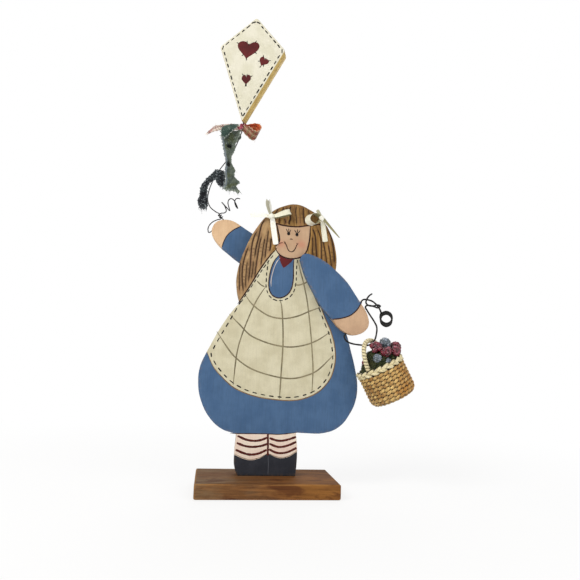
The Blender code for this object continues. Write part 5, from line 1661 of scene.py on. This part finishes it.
# One or more strips of cloth, with a wall, and their loose threads
def tornCloth(name, strips, materials, seed, ragged, hollows, otherSide):
    pick = random.Random(seed)
    shape, threads = bmesh.new(), bmesh.new()
    for key in ("fray", "paintedShade"):
        shape.verts.layers.float.new(key)
    uv = shape.loops.layers.uv.new("UVMap")
    for strip in strips:
        rows = clothRows(shape, strip, seed, ragged, hollows)
        slot = strip[-1]
        for first, second in zip(rows, rows[1:]):
            for k in range(clothColumns):
                corners = (first[k], first[k + 1], second[k + 1], second[k])
                face = shape.faces.new([c[0] for c in corners])
                face.material_index = slot
                for loop, corner in zip(face.loops, corners):
                    loop[uv].uv = corner[1]
        looseThreads(threads, rows, strip[4], slot, pick)
    thin = finished(name + "_flat", meshFrom(name, shape, turnOut=False), materials)
    wall = thin.modifiers.new("wall", "SOLIDIFY")
    wall.thickness, wall.offset, wall.material_offset = 0.42 * mm, 0, otherSide
    result = baked(thin)
    bpy.data.objects.remove(thin)
    result.name = name
    result.shade_smooth()
    return placed(name, result), meshPiece(name + "_threads", threads, materials, 180)


# A ring round a knot's axis, with its outward directions; a number makes it drift and swell like crumpled cloth
def knotRing(middle, axis, radius, squeeze, count, number=None):
    axis = Vector(axis).normalized()
    across = axis.orthogonal().normalized()
    other = axis.cross(across)
    points, outs = [], []
    for a in angles(count):
        away = across * cos(a) + other * sin(a) * squeeze
        spot = Vector(middle) + Vector((0, 0, feet))
        if number is None:
            spot += away * radius
        else:
            order, seed = number
            lump = 1 + 0.16 * drift(cos(a) * 1.3, sin(a) * 1.3, order + seed)
            spot += away * radius * lump + axis * 0.9 * drift(cos(a), sin(a), order * 3 + seed)
        points.append(spot * mm)
        outs.append(away)
    return points, outs


# Cloth wound round the wire: each band is (middle, axis, radius, width, squeeze, thickness)
def clothKnot(name, bands, material, seed):
    strands = []
    for number, (middle, axis, radius, width, squeeze, thickness) in enumerate(bands):
        points, outs = knotRing(middle, axis, radius, squeeze, 36, (number, seed))

        def section(t, width=width, thickness=thickness, number=number):
            outline = []
            for b in angles(18):
                crease = 1 + 0.2 * sin(3 * b + 5 * sin(tau * t) + number)
                crease += 0.12 * sin(7 * b + 9 * t * 6.28)
                outline.append((width / 2 * cos(b) * mm, thickness / 2 * sin(b) * crease * mm))
            return outline

        strands.append((points, section, outs, True, 0.3, None))
    return strandPiece(name, strands, [material], 180, (1, 0.6))


# The left and right edges of a strip that follows a route, as points above the feet
def bandAlong(route, widths, across):
    line = smoothLine(route, 0.5)
    left, right = [], []
    for i, point in enumerate(line):
        ahead = aheadAt(line, i)
        side = Vector(across)
        side = (side - ahead * side.dot(ahead)).normalized()
        width = between(widths, i / (len(line) - 1))
        left.append(point - side * width / 2)
        right.append(point + side * width / 2)
    return left[::3] + [left[-1]], right[::3] + [right[-1]]


# Each rag's cloths, flat size in metres, strips and knot. A strip is (left edge, right edge, pleats, depth at both
# ends, torn ends, a place in the list of cloths), all in millimetres above the feet.
rags = {
    "plaid": {
        "cloths": ("orange_plaid", "plaid", "faded_plaid", "faded_plaid"), "knotCloth": "wine_plaid",
        "flat": (0.010, 0.075), "seed": 3, "knotSeed": 2, "otherSide": 1,
        "strips": [
            (*bandAlong([(-33, 11.6, 319), (-28, 8.2, 314.6), (-22.4, 7, 310.4), (-18.4, 8.4, 312.6),
                (-17.4, 11.6, 317.4), (-20.6, 13.6, 320.4), (-26, 13.6, 320), (-32, 13.2, 319.6)], [5, 8.5, 10, 10.5,
                10, 8.5, 5], (0.42, -0.62, 0.58)), 0.6, (0.25, 0.3), (False, False), 0),
            ([(-35, 11.4, 320.6), (-44, 10.6, 321.2), (-53, 10.2, 319.4), (-59, 10, 317.6), (-65.6, 9.6, 310.8)],
                [(-35, 12.4, 316.4), (-44, 12.4, 315.6), (-53, 12, 314.8), (-59.6, 11.2, 312.6), (-64.6, 10, 309.2)],
                1.1, (0.5, 0.5), (False, True), 2)],
        "knot": [
            ((-33.2, 13.9, 320.2), (0.7, 0.1, 0.7), 2.5, 3.4, 0.95, 1.9),
            ((-35.6, 13.6, 318.6), (0.8, 0, 0.5), 2.2, 3.2, 0.9, 1.7),
            ((-31.2, 13.8, 321), (0.5, 0.2, 0.8), 2.2, 3.2, 1, 1.8),
            ((-33.4, 11.6, 319.4), (0.1, 0.5, -0.8), 1.7, 2.8, 0.8, 1.5)]},
    "green": {
        "cloths": ("grey_green", "deep_green"), "knotCloth": "grey_green", "flat": (0.014, 0.078), "seed": 7,
        "knotSeed": 5, "ragged": 0.75, "hollows": ((-44.6, 299.6, 3.4, 2.6), (-44.4, 281.6, 2.6, 3.4)),
        "strips": [
            ([(-51.6, 12.6, 314), (-52.2, 12.4, 306), (-50.8, 11.6, 300), (-49.4, 11.2, 292.6), (-47.3, 10.8, 284),
                (-47.6, 10.4, 275), (-46.8, 10.2, 266), (-47.4, 10, 261), (-49.4, 9.8, 256.9)], [(-33.8, 11.6, 316.4),
                (-35, 11.2, 311), (-36.8, 10.8, 306), (-38.8, 10.6, 300.5), (-39, 10.6, 295.6), (-41, 10.2, 291.4),
                (-42.2, 10, 287.6), (-41, 9.8, 281), (-38, 9.4, 276), (-38.7, 9.2, 270), (-33.4, 8.8, 264.4),
                (-36.2, 8.7, 260.6), (-31.2, 8.6, 253.6)], 1.6, (1.3, 1.2), (False, True), 0),
            ([(-41, 10.2, 321.4), (-46, 8.8, 319.6), (-52.6, 7.8, 315.6), (-52.8, 7.6, 306.4)], [(-36.6, 10.4, 321),
                (-39.2, 8.8, 316.6), (-43.4, 7.8, 312.2), (-48.2, 7.6, 306.2)], 0.8, (0.5, 0.6), (False, True), 1)],
        "knot": [
            ((-37, 14, 310.6), (0.55, 0, 0.8), 2.5, 3.6, 0.95, 1.8),
            ((-39, 13.6, 307.6), (0.4, 0.1, 0.9), 2.4, 3.2, 0.95, 1.7)]},
    "navy": {
        "cloths": ("navy_black",), "knotCloth": "navy_black", "flat": (0.010, 0.066), "seed": 12, "knotSeed": 8,
        "ragged": 0.95,
        "strips": [
            ([(-56, 12.6, 276.4), (-60.6, 11.6, 270.6), (-65.6, 10.4, 264.6), (-68.8, 9.8, 258.6), (-70.1, 9.6, 249),
                (-71.2, 9.4, 242.6), (-69, 9.4, 236.8)], [(-52.6, 13.2, 270.6), (-57, 12.4, 265.2),
                (-60.6, 11.4, 262.6), (-62.9, 10.6, 257), (-62.6, 10.4, 249.6), (-62, 10.2, 242.6), (-62.6, 10, 236.4)],
                1.7, (1, 1.1), (False, True), 0),
            ([(-54.4, 12.6, 275.4), (-56, 11.8, 268.6), (-55.2, 11.4, 264.4), (-52.8, 11.2, 260.2)],
                [(-48.6, 12.4, 276), (-46.8, 11.6, 269.4), (-46.6, 11.2, 259.2)], 1.6, (1.1, 1.1), (False, True), 0)],
        "knot": [
            ((-54.2, 14.2, 273.6), (0.75, 0, 0.6), 2.6, 4.2, 0.95, 2),
            ((-51.6, 13.4, 272.4), (0.4, 0.5, 0.8), 2.3, 3.8, 0.9, 1.8),
            ((-56.4, 13.4, 271.4), (0.6, -0.2, 0.7), 2.2, 3.4, 0.9, 1.7)]},
}


for name, rag in rags.items():
    cloth, strays = tornCloth(name + "_rag_cloth", rag["strips"], [cloths[key] for key in rag["cloths"]], rag["seed"],
                              rag.get("ragged", 0.5), rag.get("hollows", ()), rag.get("otherSide", 0))
    knot = clothKnot(name + "_rag_knot", rag["knot"], cloths[rag["knotCloth"]], rag["knotSeed"])
    settle(cloth, "kite", "kite_rag_" + name)
    for piece in (strays, knot):
        settle(piece, "kite", None)
print("rags done")

# Satin ribbon bows. A strip is (route, widths, side direction, painted shade on its inner side, painted warm shade over
# it), a knot's band is as a rag's.
bows = {
    # warm and inside are painted shade: warm over whole strips and knots, inside on the inner side of strips
    "ivory": (250, 249, 242), "shade": (232, 228, 204), "fold": (230, 224, 190), "warm": (208, 202, 158),
    "inside": (142, 135, 92), "thickness": 0.36,
    "left": {
        "strips": [
            ([(-3.4, -2.4, 231.4), (1, -4, 231.8), (6.4, -5, 233.8), (11.4, -4.8, 235.6), (13.6, -3.2, 236),
                (11.4, -1.5, 235), (6, -1.2, 232.8), (0, -1.5, 231), (-3.4, -1.8, 230.8)], [3, 4.2, 5.6, 6.4, 6.4, 6.2,
                5.2, 4.2, 3], (-0.3, 0.55, 0.9), 0.9, 0.5),
            ([(-4, -2.4, 232), (-6.2, -3.9, 236.6), (-7.6, -3.8, 242), (-6.8, -2.6, 245), (-5.4, -1.4, 242),
                (-4.4, -1.2, 236.6), (-3.8, -1.6, 232)], [2.8, 3.8, 4.6, 4.8, 4.4, 3.6, 2.8], (0.8, 0.7, 0.1), 0.7, 0),
            ([(-5, -2.2, 231), (-12, -2.8, 231.6), (-22.6, -3.4, 230.8)], [3, 4.4, 4.8], (0, 0.25, 1), 0, 0),
            ([(-2.4, -2.2, 230), (-1.4, -1.4, 223), (0.2, -1.2, 214), (1.8, -1.1, 205.4)], [4, 5, 5, 4.9], (1, 0, 0.1),
                0, 0)],
        "knot": [
            ((-3.6, -2.6, 231.2), (0.9, 0.1, 0.35), 1.9, 4, 0.8, 1.2),
            ((-4.4, -2.7, 230.8), (0.8, 0, -0.5), 1.8, 3.4, 0.8, 1.1),
            ((-3.6, -2.4, 231.2), (1, 0, 0), 0.9, 4.2, 0.8, 1.8)]},
    "right": {
        "strips": [
            ([(42, -2.4, 233), (38.4, -3.2, 235.4), (33.4, -3.4, 235), (30.2, -3.2, 231.4), (31.4, -3.2, 227.6),
                (36, -3.2, 226), (40, -3, 228.2), (42, -2.4, 231.4)], [4.2, 5.6, 6.4, 6.6, 6.6, 6.4, 5.4, 4],
                (0.62, -0.77, 0.1), 0.9, 0.4),
            ([(42.6, -2.4, 234), (41, -2.8, 236.6), (38.8, -3, 239.8)], [3, 3.8, 4.2], (0.9, 0.5, 0.3), 0.6, 0.55),
            ([(44, -2.3, 231.6), (45.2, -1.5, 225), (47.6, -1.2, 210.6)], [3.8, 4.7, 4.9], (1, 0, 0.15), 0, 0.45),
            ([(44.6, -2.4, 232.6), (52, -2.8, 224), (60.6, -3, 214.8)], [3.6, 3.4, 2.4, 1], (0.6, 0.5, 0.6), 0.98, 1)],
        "knot": [
            ((43.2, -2.6, 232.6), (0.6, 0.1, -0.75), 1.9, 4, 0.8, 1.2),
            ((43.8, -2.7, 231.6), (0.8, 0, -0.4), 1.7, 3.2, 0.8, 1.1),
            ((43.2, -2.4, 232.4), (0.6, 0, -0.8), 0.9, 4.2, 0.8, 1.8)]},
}


def ribbonFinish():
    look = Finish("ivory_satin", 0.48, 0.45, sheen=0.15)
    uv = look.put("UVMap").outputs["UV"]
    thread = look.cloud(look.stretched(uv, (0.12, 6, 1)))
    look.lay(look.ramp(thread, 0.4, 0.68, 0, 0.5), srgb(*bows["ivory"]), srgb(*bows["shade"]))
    look.tint(bows["fold"], look.grain(190, detail=3), 0.54, 0.7, 0.35)
    # Painted warm shade over chosen strips and knots, and painted shade on the inner side of the loops
    look.over(look.mark("tone"), bows["warm"])
    look.over(look.mark("paintedShade"), bows["inside"])
    look.bump(thread, 0.3, 0.0001)
    return look.done()


ribbon = ribbonFinish()


def makeBow(side):
    strands = []
    for route, widths, across, paintedShade, tone in bows[side]["strips"]:
        line = smoothLine(fromFeet(route), 0.6)
        outs = []
        for i in range(len(line)):
            ahead = aheadAt(line, i)
            outs.append((Vector(across) - ahead * Vector(across).dot(ahead)).normalized().cross(ahead))

        def section(t, widths=widths):
            return band(between(widths, t) * mm, bows["thickness"] * mm)

        # Painted shade on the inner side of the strip
        def dip(t, k, paintedShade=paintedShade):
            return paintedShade if k >= 0.42 or paintedShade > 0.95 else 0

        strands.append(([p * mm for p in line], section, outs, False, tone, dip))
    for middle, axis, radius, width, squeeze, thickness in bows[side]["knot"]:
        ring, outs = knotRing(middle, axis, radius, squeeze, 28)
        strands.append((ring, band(width * mm, thickness * mm), outs, True, 0.15, None))
    bow = strandPiece(side + "_ribbon_bow", strands, [ribbon], 60, (1, 0.55))
    settle(bow, "figure", side + "_hair_bow")


makeBow("left")
makeBow("right")
print("bows done")

# The plank and the screws keep their CAD shapes and get these finishes
plankLook = {
    "light": (140, 92, 48), "dark": (98, 60, 30), "grey": (124, 104, 78), "warm": (146, 98, 46), "blot": (82, 44, 24),
    "pore": (56, 34, 18), "top": (84, 56, 34), "wearAndHighlight": (178, 128, 70), "steel": ((196, 198, 196), (160, 164, 162)),
}


def plankFinish():
    look = Finish("walnut_stained_plank", 0.72, 0.12)
    across, deep, high = look.put("SeparateXYZ", {"Vector": look.put("TexCoord").outputs["Object"]}).outputs
    rings = look.grain(210, (0.06, 1, 1), 6, 1.6)
    pores = look.grain(1500, (0.04, 1, 1), 3)
    look.base(rings, 0.32, 0.68, plankLook["light"], plankLook["dark"])
    look.over(look.times(look.ramp(across, 0.02, -0.05), look.ramp(look.grain(60, (0.4, 1, 1)), 0.36, 0.6, 0.2, 0.8)),
              plankLook["grey"])
    look.over(look.times(look.ramp(across, -0.01, 0.05), look.ramp(look.grain(75, (0.3, 1, 1)), 0.42, 0.64, 0, 0.7)),
              plankLook["warm"])
    look.tint(plankLook["blot"], look.grain(80, (0.45, 1, 1), 4, 0.5), 0.52, 0.66, 0.7)
    look.tint(plankLook["pore"], pores, 0.55, 0.72, 0.6)
    # The top face is darkened a little: painted shade
    look.over(look.times(look.ramp(high, 0.0119, 0.0126), look.ramp(look.grain(60, (0.4, 1, 1)), 0.3, 0.6, 0.5, 0.15)),
              plankLook["top"])
    # A painted highlight along the plank's edges and corners, broken up by noise
    ends = look.ramp(look.maths("ABSOLUTE", across), 0.0586, 0.0603)
    sides = look.ramp(look.maths("ABSOLUTE", deep), 0.0322, 0.0339)
    tops = look.ramp(look.maths("ABSOLUTE", look.maths("SUBTRACT", high, 0.00635)), 0.0048, 0.0061)
    corners = look.maths("MAXIMUM", look.times(ends, sides), look.times(sides, tops))
    corners = look.maths("MAXIMUM", corners, look.times(ends, tops))
    look.over(look.times(corners, look.ramp(look.grain(170, (0.35, 1, 1), 5), 0.36, 0.6, 0.05, 0.6)), plankLook["wearAndHighlight"])
    look.bump(rings, 0.3, 0.0004)
    look.bump(pores, 0.5, 0.0003)
    return look.done()


def zincFinish():
    look = Finish("zinc_plated_steel", 0.34, 0.5, metallic=1)
    look.base(look.grain(900), 0.4, 0.65, *plankLook["steel"])
    look.bump(look.cloud(look.coords((1, 1, 8)), 2200, 2), 0.25, 0.0001)
    return look.done()


for node, finish in (("base_plank", plankFinish), ("base_screw_left", zincFinish), ("base_screw_right", zincFinish)):
    made = finish()
    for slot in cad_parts[node].material_slots:
        slot.material = made
print("plank and screws done")
